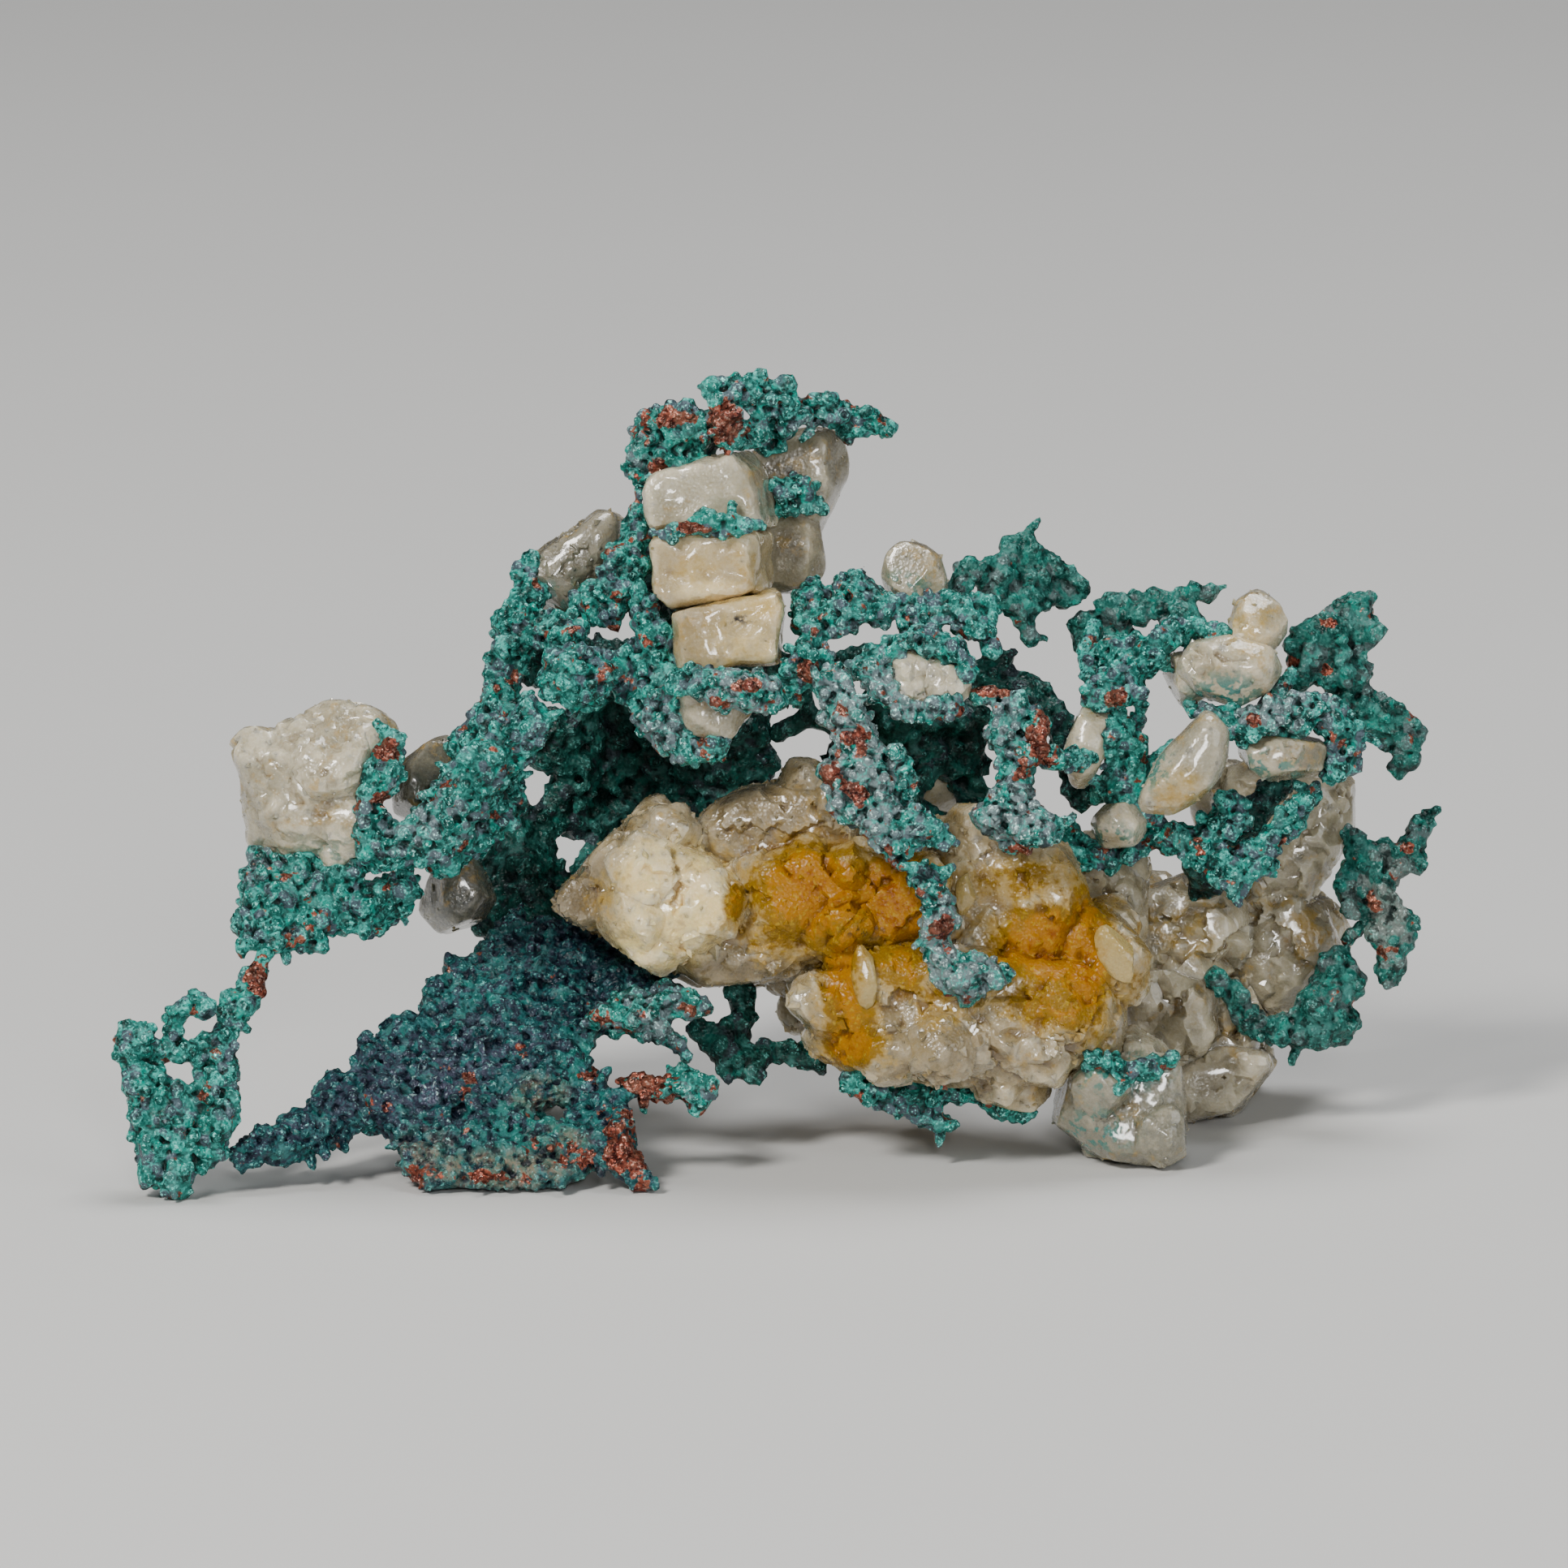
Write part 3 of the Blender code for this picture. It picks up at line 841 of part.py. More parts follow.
def leaf():
    """The broad leaf of copper low at the left, with its tongue and prongs."""
    outline = [(-15.2, 3.9), (-15.2, 5.0), (-14.4, 6.1), (-13.2, 7.0), (-13.1, 8.0), (-12.6, 9.0),
               (-12.0, 8.8), (-11.0, 8.7), (-10.5, 9.2), (-9.3, 10.0), (-7.0, 10.0), (-6.0, 9.3),
               (-4.5, 8.3), (-4.0, 7.4), (-4.5, 6.6), (-6.2, 6.3), (-7.4, 5.9), (-7.5, 4.6), (-6.7, 4.0),
               (-6.2, 3.2), (-6.3, 2.0), (-6.8, 1.0), (-8.5, 0.5), (-9.5, 0.8), (-11.5, 0.7),
               (-12.1, 0.1), (-13.9, 0.8), (-14.2, 1.5), (-13.3, 2.2), (-13.9, 2.4), (-15.1, 2.9)]
    copper("copper_leaf", [
        [(-11.0, 9.0, 7.6, 0.4), (-10.4, 9.9, 8.0, 0.35), (-9.8, 10.6, 8.2, 0.3)],
        [(-15.2, 5.2, 4.6, 0.5), (-15.5, 5.8, 4.8, 0.35)],
        [(-6.6, 3.6, 2.9, 0.5), (-6.0, 2.6, 2.2, 0.55), (-5.9, 1.6, 1.6, 0.55), (-5.5, 0.8, 1.2, 0.5),
         (-5.0, 0.5, 1.1, 0.4)],
        [(-20.0, 1.6, 0.8, 0.42), (-19.2, 2.0, 1.2, 0.6), (-18.2, 2.1, 1.8, 0.75), (-17.0, 2.8, 2.4, 0.9),
         (-16.2, 3.5, 3.0, 1.0), (-15.0, 3.8, 3.4, 0.9)],
        [(-17.0, 3.2, 2.8, 0.6), (-16.5, 4.2, 3.4, 0.6)],
        [(-17.4, 2.3, 2.2, 0.6), (-16.2, 2.7, 2.5, 0.6)],
    ], BLUE_COPPER, sheets=[(outline, [(-8.9, 3.3, 0.5)], leaf_depth)], density=0.85)
    copper("copper_leaf_upper_prong", [
        [(-7.8, 5.9, 4.3, 0.5), (-7.0, 6.6, 4.2, 0.6), (-5.5, 7.0, 4.1, 0.6), (-4.2, 7.2, 4.0, 0.6),
         (-3.3, 7.1, 4.0, 0.5)],
        [(-6.4, 6.6, 4.0, 0.45), (-5.0, 6.1, 3.8, 0.42), (-4.2, 5.9, 3.8, 0.4), (-3.6, 5.4, 3.8, 0.32)],
    ])
    copper("copper_leaf_lower_prong", [
        [(-5.9, 4.3, 2.9, 0.5), (-5.3, 4.1, 2.9, 0.5), (-4.5, 4.2, 2.9, 0.45), (-3.6, 4.3, 2.9, 0.5),
         (-3.1, 4.0, 2.9, 0.62)],
    ])


def underside():
    """Small growths under and between the quartz."""
    copper("copper_under_quartz", [
        [(2.6, 4.3, 4.6, 0.42), (3.3, 3.8, 4.8, 0.45), (4.3, 3.5, 5.0, 0.45), (5.2, 3.1, 5.0, 0.4),
         (6.0, 2.7, 5.0, 0.36), (6.4, 2.5, 5.0, 0.28)],
        [(4.3, 3.6, 5.0, 0.4), (5.4, 3.9, 5.2, 0.36), (6.5, 3.8, 5.6, 0.36), (7.4, 3.6, 5.6, 0.36),
         (8.3, 3.3, 5.5, 0.5), (8.9, 3.3, 5.5, 0.45)],
    ])
    copper("copper_base_sprig", [
        [(-3.2, 6.6, 6.4, 0.4), (-2.9, 5.9, 6.2, 0.4), (-2.4, 5.4, 6.2, 0.42), (-2.0, 4.9, 6.2, 0.5),
         (-1.4, 4.8, 6.2, 0.55), (-0.9, 4.5, 6.2, 0.4)],
        [(-2.4, 5.6, 6.2, 0.4), (-1.6, 6.2, 6.6, 0.42), (-1.2, 7.2, 7.0, 0.42), (-1.9, 7.3, 7.0, 0.4)],
        [(-1.4, 5.0, 6.3, 0.42), (-0.4, 5.4, 6.8, 0.4), (0.5, 5.2, 7.0, 0.4), (1.3, 4.8, 7.0, 0.38)],
    ], DARK_COPPER)
    copper("copper_foot_sprig", [
        [(10.8, 5.2, 3.6, 0.3), (11.4, 5.1, 3.6, 0.35), (12.0, 4.8, 3.6, 0.4), (12.8, 4.7, 3.7, 0.4),
         (13.2, 4.9, 3.9, 0.36), (14.3, 5.0, 4.2, 0.3)],
        [(12.4, 4.7, 3.6, 0.35), (12.2, 3.6, 3.7, 0.32), (11.8, 2.6, 3.8, 0.34), (12.6, 2.1, 3.8, 0.32)],
    ])


def left_wall_depth(across, up):
    """The wall under the arch, gently waved."""
    return 13.2 + 0.9 * math.sin(across * 0.8) + 0.5 * math.cos(up * 0.9)


def right_wall_depth(across, up):
    """The wall behind the hanging branches, nearer and waved."""
    return 11.2 + 0.7 * math.sin(across * 0.9 + 1.0) + 0.4 * math.cos(up * 0.8)


def back_copper():
    """The dim copper at the back, and what joins it to the rest and to the ground."""
    left_outline = [(-10.8, 9.5), (-11.9, 10.6), (-11.9, 12.2), (-10.8, 13.0), (-10.2, 15.0),
                    (-9.0, 17.3), (-7.0, 18.6), (-4.0, 18.7), (-1.0, 18.5), (-0.2, 17.8),
                    (-0.6, 16.2), (-1.2, 15.0), (-2.0, 13.0), (-3.4, 10.6), (-5.0, 9.2),
                    (-8.0, 8.6)]
    left_holes = [(-9.4, 14.9, 0.95), (-8.2, 12.4, 0.7), (-4.6, 11.8, 0.8)]
    right_outline = [(2.3, 18.3), (5.0, 18.6), (7.2, 18.2), (7.6, 16.5), (7.2, 14.0), (5.8, 13.2),
                     (3.0, 13.4), (2.0, 15.0)]
    right_holes = [(5.6, 15.0, 0.8)]
    copper("copper_back_wall_left", [], DARK_COPPER, density=WALL_DENSITY,
           sheets=[(left_outline, left_holes, left_wall_depth)])
    copper("copper_back_wall_right", [], DARK_COPPER, density=WALL_DENSITY,
           sheets=[(right_outline, right_holes, right_wall_depth)])
    copper("copper_back_ridge_left", [
        [(-9.3, 19.5, 6.8, 0.6), (-8.4, 19.5, 8.6, 0.65), (-7.0, 19.8, 10.8, 0.7), (-5.4, 20.0, 12.8, 0.7),
         (-3.6, 20.0, 13.2, 0.7), (-1.6, 19.7, 12.9, 0.65)],
    ], DARK_COPPER)
    copper("copper_back_ridge_right", [
        [(-0.6, 19.3, 12.3, 0.65), (1.0, 19.4, 11.8, 0.6), (2.8, 19.8, 11.2, 0.6),
         (4.8, 19.8, 10.8, 0.6), (6.8, 19.3, 10.6, 0.6), (8.2, 18.9, 10.4, 0.55), (9.2, 18.7, 10.0, 0.55),
         (9.9, 18.1, 9.6, 0.5), (10.3, 17.5, 9.4, 0.5), (10.5, 16.9, 9.2, 0.5), (10.8, 15.8, 9.0, 0.45),
         (10.9, 14.7, 9.0, 0.45)],
        [(7.2, 19.3, 10.4, 0.5), (8.0, 19.8, 10.2, 0.45), (8.5, 20.1, 10.0, 0.35)],
    ], DARK_COPPER)
    copper("copper_back_foot", [
        [(-8.6, 7.9, 13.3, 0.9), (-9.4, 6.4, 13.8, 0.8), (-9.8, 4.8, 14.4, 0.75), (-10.0, 3.1, 14.8, 0.85)],
        [(-9.3, 6.6, 13.7, 0.7), (-10.4, 7.9, 13.4, 0.8)],
        [(-9.8, 4.2, 14.6, 0.6), (-8.8, 3.1, 15.0, 0.65)],
        [(-9.9, 4.2, 14.6, 0.6), (-11.0, 3.1, 15.2, 0.6)],
    ], DARK_COPPER)


def main():
    """Clear the scene, then make the quartz and the copper grown over it."""
    for obj in list(bpy.data.objects):
        bpy.data.objects.remove(obj, do_unlink=True)
    matrix_front()
    matrix_back()
    foot_right()
    tower_crystals()
    crown_crystal()
    side_crystals()
    thicket_crystals()
    arch_crystals()
    rear_crystals()
    leaf()
    left_leg()
    left_shoulder()
    tower_copper()
    crown()
    canopy()
    spiky_top()
    thicket()
    right_side()
    underside()
    back_copper()


main()
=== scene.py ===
"""Looks for native copper on quartz.

Each copper node is dressed in a crust of small crystals fused over its own solid, with crystals that
close the narrow gaps to its neighbours. Each quartz node gets a finer surface of flat crystal faces
with small crystals on them. Places are given as they are seen from the front, in millimetres: across
to the right, up, and deep away from the viewer, as in the part's own source.
"""
import json
import math
from itertools import product

import bmesh
import bpy
import numpy as np
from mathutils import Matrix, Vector, kdtree, noise
from mathutils.bvhtree import BVHTree

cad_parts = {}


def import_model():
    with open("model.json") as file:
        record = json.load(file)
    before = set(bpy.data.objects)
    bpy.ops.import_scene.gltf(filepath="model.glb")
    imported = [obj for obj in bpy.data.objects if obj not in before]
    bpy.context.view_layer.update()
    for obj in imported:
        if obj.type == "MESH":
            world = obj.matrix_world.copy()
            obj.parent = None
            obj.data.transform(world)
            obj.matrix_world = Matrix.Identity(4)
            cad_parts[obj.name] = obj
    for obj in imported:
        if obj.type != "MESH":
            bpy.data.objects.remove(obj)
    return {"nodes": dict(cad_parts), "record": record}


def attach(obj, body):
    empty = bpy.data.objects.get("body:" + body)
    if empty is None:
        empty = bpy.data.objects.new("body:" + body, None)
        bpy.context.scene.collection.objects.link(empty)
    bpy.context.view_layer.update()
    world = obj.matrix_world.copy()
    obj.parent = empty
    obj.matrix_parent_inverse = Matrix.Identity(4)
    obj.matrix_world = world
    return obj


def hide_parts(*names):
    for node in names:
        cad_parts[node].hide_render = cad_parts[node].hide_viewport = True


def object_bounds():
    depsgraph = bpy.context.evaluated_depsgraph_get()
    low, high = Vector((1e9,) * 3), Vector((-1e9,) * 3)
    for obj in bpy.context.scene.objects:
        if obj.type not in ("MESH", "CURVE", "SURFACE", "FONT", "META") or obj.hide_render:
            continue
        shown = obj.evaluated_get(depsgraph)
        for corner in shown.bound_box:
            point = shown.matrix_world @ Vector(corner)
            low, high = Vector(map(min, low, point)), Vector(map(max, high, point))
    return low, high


# The part's own frame, as seen from the front; lengths in millimetres
MM = 0.001
VIEW_TILT = math.radians(12.0)
CENTRE_ACROSS = -0.09
CENTRE_DEEP = 10.1

# How far the look may reach past the solids' box: its low and its high corner
BOX_SLACK = ((-0.35, -0.35, 0.0), (0.35, 0.35, 0.3))

# How steeply a soft patch falls off at its edge
BLOB_EDGE = 1.5

# How far the smooth noise is moved for each seed
SEED_SHIFT = (7.1, 3.7, 5.3)

# Points spread over a surface: how many are tried for each that would fit, and the cells around one
TRIES = 3.2
NEAR_CELLS = list(product((-1, 0, 1), repeat=3))

# Crust of copper crystals
CRYSTAL_STRETCH = (0.75, 1.3)
CRYSTAL_EDGE = math.radians(32)
CORE_SHRINK = 0.06
CRUST_WAVES = (0.2, 0.5)
CRUST_ROUGHNESS = 0.02
CRUST_KEPT = 0.42
SEAM_WIDTH = 0.18
HOLLOW_SPREAD = 1
PIT_SPREAD = 5
CRUSTS = {
    "copper_green": dict(pitch=0.31, radius=(0.14, 0.29), lift=(-0.14, 0.07), sprig_share=0.03, voxel=0.075),
    "copper_mint": dict(pitch=0.36, radius=(0.17, 0.32), lift=(-0.18, 0.00), sprig_share=0.012, voxel=0.09),
    "copper_blue": dict(pitch=0.21, radius=(0.10, 0.19), lift=(-0.10, 0.08), sprig_share=0.02, voxel=0.08),
    "copper_dark": dict(pitch=0.36, radius=(0.16, 0.28), lift=(-0.10, 0.10), sprig_share=0.02, voxel=0.13),
}

# Larger crystals sunk in the crust: pitch and size against the crust's own, and how deep they sit
CLUMP_PITCH = 2.7
CLUMP_SIZE = 1.65
CLUMP_SUNK = 0.22

# Sprigs, which stand off the crust
SPRIG_STEPS = (2, 4)
SPRIG_RADIUS = (0.2, 0.28)
SPRIG_SPREAD = 0.45
SPRIG_BEND = 0.3
SPRIG_STRIDE = 0.95
SPRIG_TAPER = 0.84

# Strands: the step from crystal to crystal, and how far they stray against their radius
STRAND_STEP = 0.14
STRAND_STRAY = 0.12

# Copper that closes the narrow gaps between the solids, which stand for surfaces grown together
BOND_REACH = 0.42
BOND_SIZE = 0.09
UNBONDED = ("copper_tower_seam", "copper_leaf_lower_prong", "copper_leaf_upper_prong")

# Quartz surface
QUARTZ_VOXEL = 0.105
QUARTZ_KEPT = 0.3
QUARTZ_HOLLOW_SPREAD = 2
SHARP_ANGLE = math.radians(24)
TRIM_SHARE = 0.92

# Bed crystals, packed side by side; the first of each one's faces lies nearly flat
BED_FACES = 6
BED_NEIGHBOURS = 5
BED_BATCH = 40000
BED_TURN_SPREAD = 0.3
BED_TOP_LEAN = 0.3
BED_RADIUS = (0.5, 0.85)
BED_RISE = (-0.6, 0.6)
BED_SUNK = 0.85
BED_DISTANCE = (0.85, 1.1)
BED_STEEPEST = 0.15

# Splinters, the small crystals on the quartz: many-sided, or blocks with these half sizes
SPLINTER_POINTS = 10
SPLINTER_KINDS = 16
SPLINTER_STRETCH = (0.6, 1.25)
SPLINTER_SUNK = (0.35, 0.8)
BLOCK_HALF = (0.6, 0.55, 0.75)
BLOCK_SKEW = 0.24

# Studs, the single crystals that stand out of the quartz, and the share of its reach that a flat cut
# leaves of a stud or a crystal
STUD_CUTS = 14
STUD_SHARE = (0.72, 0.92)
STUD_DEPTH = 0.8
STUD_FINENESS = 3
CRYSTAL_SHARE = (0.80, 0.97)

# How deep the rays start that look for the surface from the front
IN_FRONT = -50.0


def place(across, up, deep):
    """A point in metres in the part's frame, for a point laid out as seen from the front."""
    back = deep * math.cos(VIEW_TILT) + up * math.sin(VIEW_TILT) - CENTRE_DEEP
    height = up * math.cos(VIEW_TILT) - deep * math.sin(VIEW_TILT)
    return Vector((across - CENTRE_ACROSS, back, height)) * MM


# One millimetre to the right, up, and away from the viewer
RIGHT = place(1, 0, 0) - place(0, 0, 0)
UPWARD = place(0, 1, 0) - place(0, 0, 0)
AWAY = place(0, 0, 1) - place(0, 0, 0)


def as_seen(points):
    """Across and up of points given in metres in the part's frame."""
    across = points[:, 0] / MM + CENTRE_ACROSS
    back = points[:, 1] / MM + CENTRE_DEEP
    height = points[:, 2] / MM
    return across, height * math.cos(VIEW_TILT) + back * math.sin(VIEW_TILT)


# Meshes as arrays


def points_of(mesh, what="co"):
    """The mesh's points as an array."""
    values = np.empty(len(mesh.vertices) * 3)
    mesh.vertices.foreach_get(what, values)
    return values.reshape(-1, 3)


def normals_of(mesh):
    """The mesh's point normals as an array."""
    return points_of(mesh, "normal")


def triangles_of(mesh):
    """The mesh's triangles as rows of three point numbers."""
    mesh.calc_loop_triangles()
    corners = np.empty(len(mesh.loop_triangles) * 3, dtype=np.int32)
    mesh.loop_triangles.foreach_get("vertices", corners)
    return corners.reshape(-1, 3)


def set_points(mesh, points):
    """Moves the mesh's points."""
    mesh.vertices.foreach_set("co", points.astype(np.float32).ravel())
    mesh.update()


def mesh_of(points, triangles):
    """A mesh made from arrays of points and triangles."""
    mesh = bpy.data.meshes.new("working")
    mesh.from_pydata(points.tolist(), [], triangles.tolist())
    mesh.update()
    return mesh


def set_values(mesh, name, values):
    """Keeps one number for each of the mesh's points, for its material to read."""
    layer = mesh.attributes.new(name, "FLOAT", "POINT")
    layer.data.foreach_set("value", np.asarray(values, dtype=np.float32))


def added(name, data):
    """A new object in the scene."""
    obj = bpy.data.objects.new(name, data)
    bpy.context.scene.collection.objects.link(obj)
    return obj


def modified(mesh, kind, **settings):
    """The mesh as a modifier leaves it."""
    obj = added("working", mesh)
    modifier = obj.modifiers.new("modifier", kind)
    for name, value in settings.items():
        setattr(modifier, name, value)
    graph = bpy.context.evaluated_depsgraph_get()
    result = bpy.data.meshes.new_from_object(obj.evaluated_get(graph))
    bpy.data.objects.remove(obj, do_unlink=True)
    return result


def remeshed(mesh, voxel):
    """The mesh fused into one closed skin of small faces."""
    return modified(mesh, "REMESH", mode="VOXEL", voxel_size=voxel * MM)


def thinned(mesh, share):
    """The mesh with fewer triangles, most of them where it curves."""
    return modified(mesh, "DECIMATE", ratio=share)


def joined(parts):
    """Points and triangles of several parts as one."""
    shifts = np.cumsum([0] + [len(points) for points, _ in parts])
    points = np.concatenate([points for points, _ in parts])
    return points, np.concatenate([triangles + shift for (_, triangles), shift in zip(parts, shifts)])


def arrays_of(shape):
    """A bmesh's points and triangles as arrays; the bmesh is freed."""
    shape.verts.index_update()
    points = np.array([vert.co[:] for vert in shape.verts])
    triangles = np.array([[vert.index for vert in face.verts] for face in shape.faces])
    shape.free()
    return points, triangles


def tree_of(places):
    """A search tree of places, numbered in their order."""
    tree = kdtree.KDTree(len(places))
    for number, where in enumerate(places.tolist()):
        tree.insert(where, number)
    tree.balance()
    return tree


def hollows(mesh, spread):
    """How hollow the mesh is at each of its points: above nought in a hollow, below on a ridge."""
    points = points_of(mesh)
    ends = np.empty(len(mesh.edges) * 2, dtype=np.int32)
    mesh.edges.foreach_get("vertices", ends)
    first, second = ends.reshape(-1, 2).T
    count = len(points)
    ties = np.bincount(first, minlength=count) + np.bincount(second, minlength=count)
    ties = np.maximum(ties, 1)

    def averaged(values):
        """The mean of each point's neighbours."""
        total = np.bincount(first, values[second], count) + np.bincount(second, values[first], count)
        return total / ties

    means = np.stack([averaged(points[:, axis]) for axis in range(3)], axis=1)
    lengths = np.linalg.norm(points[first] - points[second], axis=1)
    length = (np.bincount(first, lengths, count) + np.bincount(second, lengths, count)) / ties
    values = ((means - points) * normals_of(mesh)).sum(axis=1) / np.maximum(length, 1e-9)
    for _ in range(spread):
        values = (values + averaged(values)) / 2
    return values


def scattered(mesh, pitch, chance):
    """Points and normals spread over a mesh, no two of them closer than the pitch."""
    points = points_of(mesh)
    triangles = triangles_of(mesh)
    first, second, third = (points[triangles[:, corner]] for corner in range(3))
    across = np.cross(second - first, third - first)
    areas = np.linalg.norm(across, axis=1) / 2
    faces = across / np.maximum(areas[:, None] * 2, 1e-18)
    tries = int(areas.sum() / (pitch * MM) ** 2 * TRIES)
    picked = chance.choice(len(areas), size=tries, p=areas / areas.sum())
    shares = np.sort(chance.random((tries, 2)), axis=1)
    spots = (first[picked] * shares[:, :1] + second[picked] * (shares[:, 1:] - shares[:, :1])
             + third[picked] * (1 - shares[:, 1:]))
    cells = np.floor(spots / (pitch * MM)).astype(int)
    taken = {}
    kept = []
    limit = (pitch * MM) ** 2
    for number, (cell, spot) in enumerate(zip(cells.tolist(), spots.tolist())):
        x, y, z = spot
        cells_near = ((cell[0] + i, cell[1] + j, cell[2] + k) for i, j, k in NEAR_CELLS)
        others = (other for near in cells_near for other in taken.get(near, ()))
        if all((x - other[0]) ** 2 + (y - other[1]) ** 2 + (z - other[2]) ** 2 >= limit for other in others):
            taken.setdefault(tuple(cell), []).append(spot)
            kept.append(number)
    return spots[kept], faces[picked[kept]]


def random_turns(count, chance):
    """Random rotation matrices."""
    quaternions = chance.normal(size=(count, 4))
    quaternions /= np.linalg.norm(quaternions, axis=1)[:, None]
    w, x, y, z = quaternions.T
    rows = [[1 - 2 * (y * y + z * z), 2 * (x * y - z * w), 2 * (x * z + y * w)],
            [2 * (x * y + z * w), 1 - 2 * (x * x + z * z), 2 * (y * z - x * w)],
            [2 * (x * z - y * w), 2 * (y * z + x * w), 1 - 2 * (x * x + y * y)]]
    return np.moveaxis(np.array(rows), 2, 0)


def crystal_shape():
    """Points and triangles of a cube with its corners cut off, the habit of copper crystals."""
    spots = np.array(NEAR_CELLS, dtype=float)
    steps = np.abs(spots).sum(axis=1)
    points = spots[steps == 2] / math.sqrt(2)
    triangles = []
    for direction in spots[(steps == 1) | (steps == 3)]:
        direction /= np.linalg.norm(direction)
        heights = points @ direction
        ring = np.flatnonzero(heights > heights.max() - 1e-6)
        side = points[ring[0]] - direction * heights[ring[0]]
        other = np.cross(direction, side)
        ring = sorted(ring, key=lambda index: math.atan2(points[index] @ other, points[index] @ side))
        triangles.extend([ring[0], ring[step], ring[step + 1]] for step in range(1, len(ring) - 1))
    return points, np.array(triangles)


CRYSTAL_POINTS, CRYSTAL_TRIANGLES = crystal_shape()


def crystals_mesh(centres, radii, chance):
    """Points and triangles of many small crystals, turned at random."""
    turns = random_turns(len(centres), chance)
    stretch = chance.uniform(*CRYSTAL_STRETCH, size=(len(centres), 1, 3))
    shapes = CRYSTAL_POINTS[None] * stretch * radii[:, None, None]
    points = np.einsum("nij,nkj->nki", turns, shapes) + centres[:, None]
    size = len(CRYSTAL_POINTS)
    triangles = CRYSTAL_TRIANGLES[None] + (np.arange(len(centres)) * size)[:, None, None]
    return points.reshape(-1, 3), triangles.reshape(-1, 3)


def nearest(points, centres):
    """For each point: its nearest centre, how far that is, and how far the next one is."""
    tree = tree_of(centres)
    owner = np.empty(len(points), dtype=int)
    first = np.empty(len(points))
    second = np.empty(len(points))
    for number, point in enumerate(points.tolist()):
        found = tree.find_n(point, 2)
        owner[number] = found[0][1]
        first[number] = found[0][2]
        second[number] = found[-1][2]
    return owner, first, second


def rough(points, pitch, seed):
    """Smooth random numbers between -1 and 1 for points, varying over about the pitch."""
    scale = 1 / (pitch * MM)
    shift = Vector([seed * step for step in SEED_SHIFT])
    return np.array([noise.noise(Vector(point) * scale + shift) for point in points.tolist()])


# Copper


def sprigs(spots, normals, share, chance):
    """Short strings of crystals standing off the surface here and there."""
    picked = np.flatnonzero(chance.random(len(spots)) < share)
    centres = []
    radii = []
    for number in picked:
        heading = normals[number] + chance.normal(size=3) * SPRIG_SPREAD
        heading /= np.linalg.norm(heading)
        point = spots[number].copy()
        radius = chance.uniform(*SPRIG_RADIUS)
        for _ in range(chance.integers(*SPRIG_STEPS, endpoint=True)):
            point = point + heading * radius * SPRIG_STRIDE * MM
            centres.append(point)
            radii.append(radius)
            radius *= SPRIG_TAPER
            heading = heading + chance.normal(size=3) * SPRIG_BEND
            heading /= np.linalg.norm(heading)
    return np.array(centres).reshape(-1, 3), np.array(radii)


def strand(stops, chance):
    """Crystals along a thin string, from its thick end to its tip; stops are seen from the front."""
    centres = []
    radii = []
    for start, end in zip(stops, stops[1:]):
        length = math.dist(start[:3], end[:3])
        steps = max(1, round(length / STRAND_STEP))
        for step in range(steps + 1):
            share = step / steps
            across, up, deep, radius = (one + (other - one) * share for one, other in zip(start, end))
            shove = Vector(chance.normal(size=3) * STRAND_STRAY * radius) * MM
            centres.append(place(across, up, deep) + shove)
            radii.append(radius)
    return np.array(centres).reshape(-1, 3), np.array(radii)


def chance_for(name):
    """A random source of its own for each node."""
    return np.random.default_rng(sum(ord(letter) * (number + 1) for number, letter in enumerate(name)))


def clumps(solid, pitch, radius, chance):
    """Larger crystals, more deeply sunk, that make the crust lumpy."""
    spots, normals = scattered(solid, pitch * CLUMP_PITCH, chance)
    radii = chance.uniform(*radius, size=len(spots)) * CLUMP_SIZE
    return spots - normals * radii[:, None] * CLUMP_SUNK * MM, radii


def bonds(spots, others):
    """Crystals that bridge the narrow gaps from a node's surface to the other solids."""
    centres = []
    radii = []
    for spot in spots.tolist():
        near, _, _, gap = others.find_nearest(spot, BOND_REACH * MM)
        if near is not None:
            centres.append((Vector(spot) + near) / 2)
            radii.append(gap / MM / 2 + BOND_SIZE)
    return np.array(centres).reshape(-1, 3), np.array(radii)


def tree_of_others(nodes, name):
    """A search tree of all the solids but one."""
    meshes = [node.data for other, node in nodes.items() if other != name]
    points, triangles = joined([(points_of(mesh), triangles_of(mesh)) for mesh in meshes])
    return BVHTree.FromPolygons(points.tolist(), triangles.tolist())


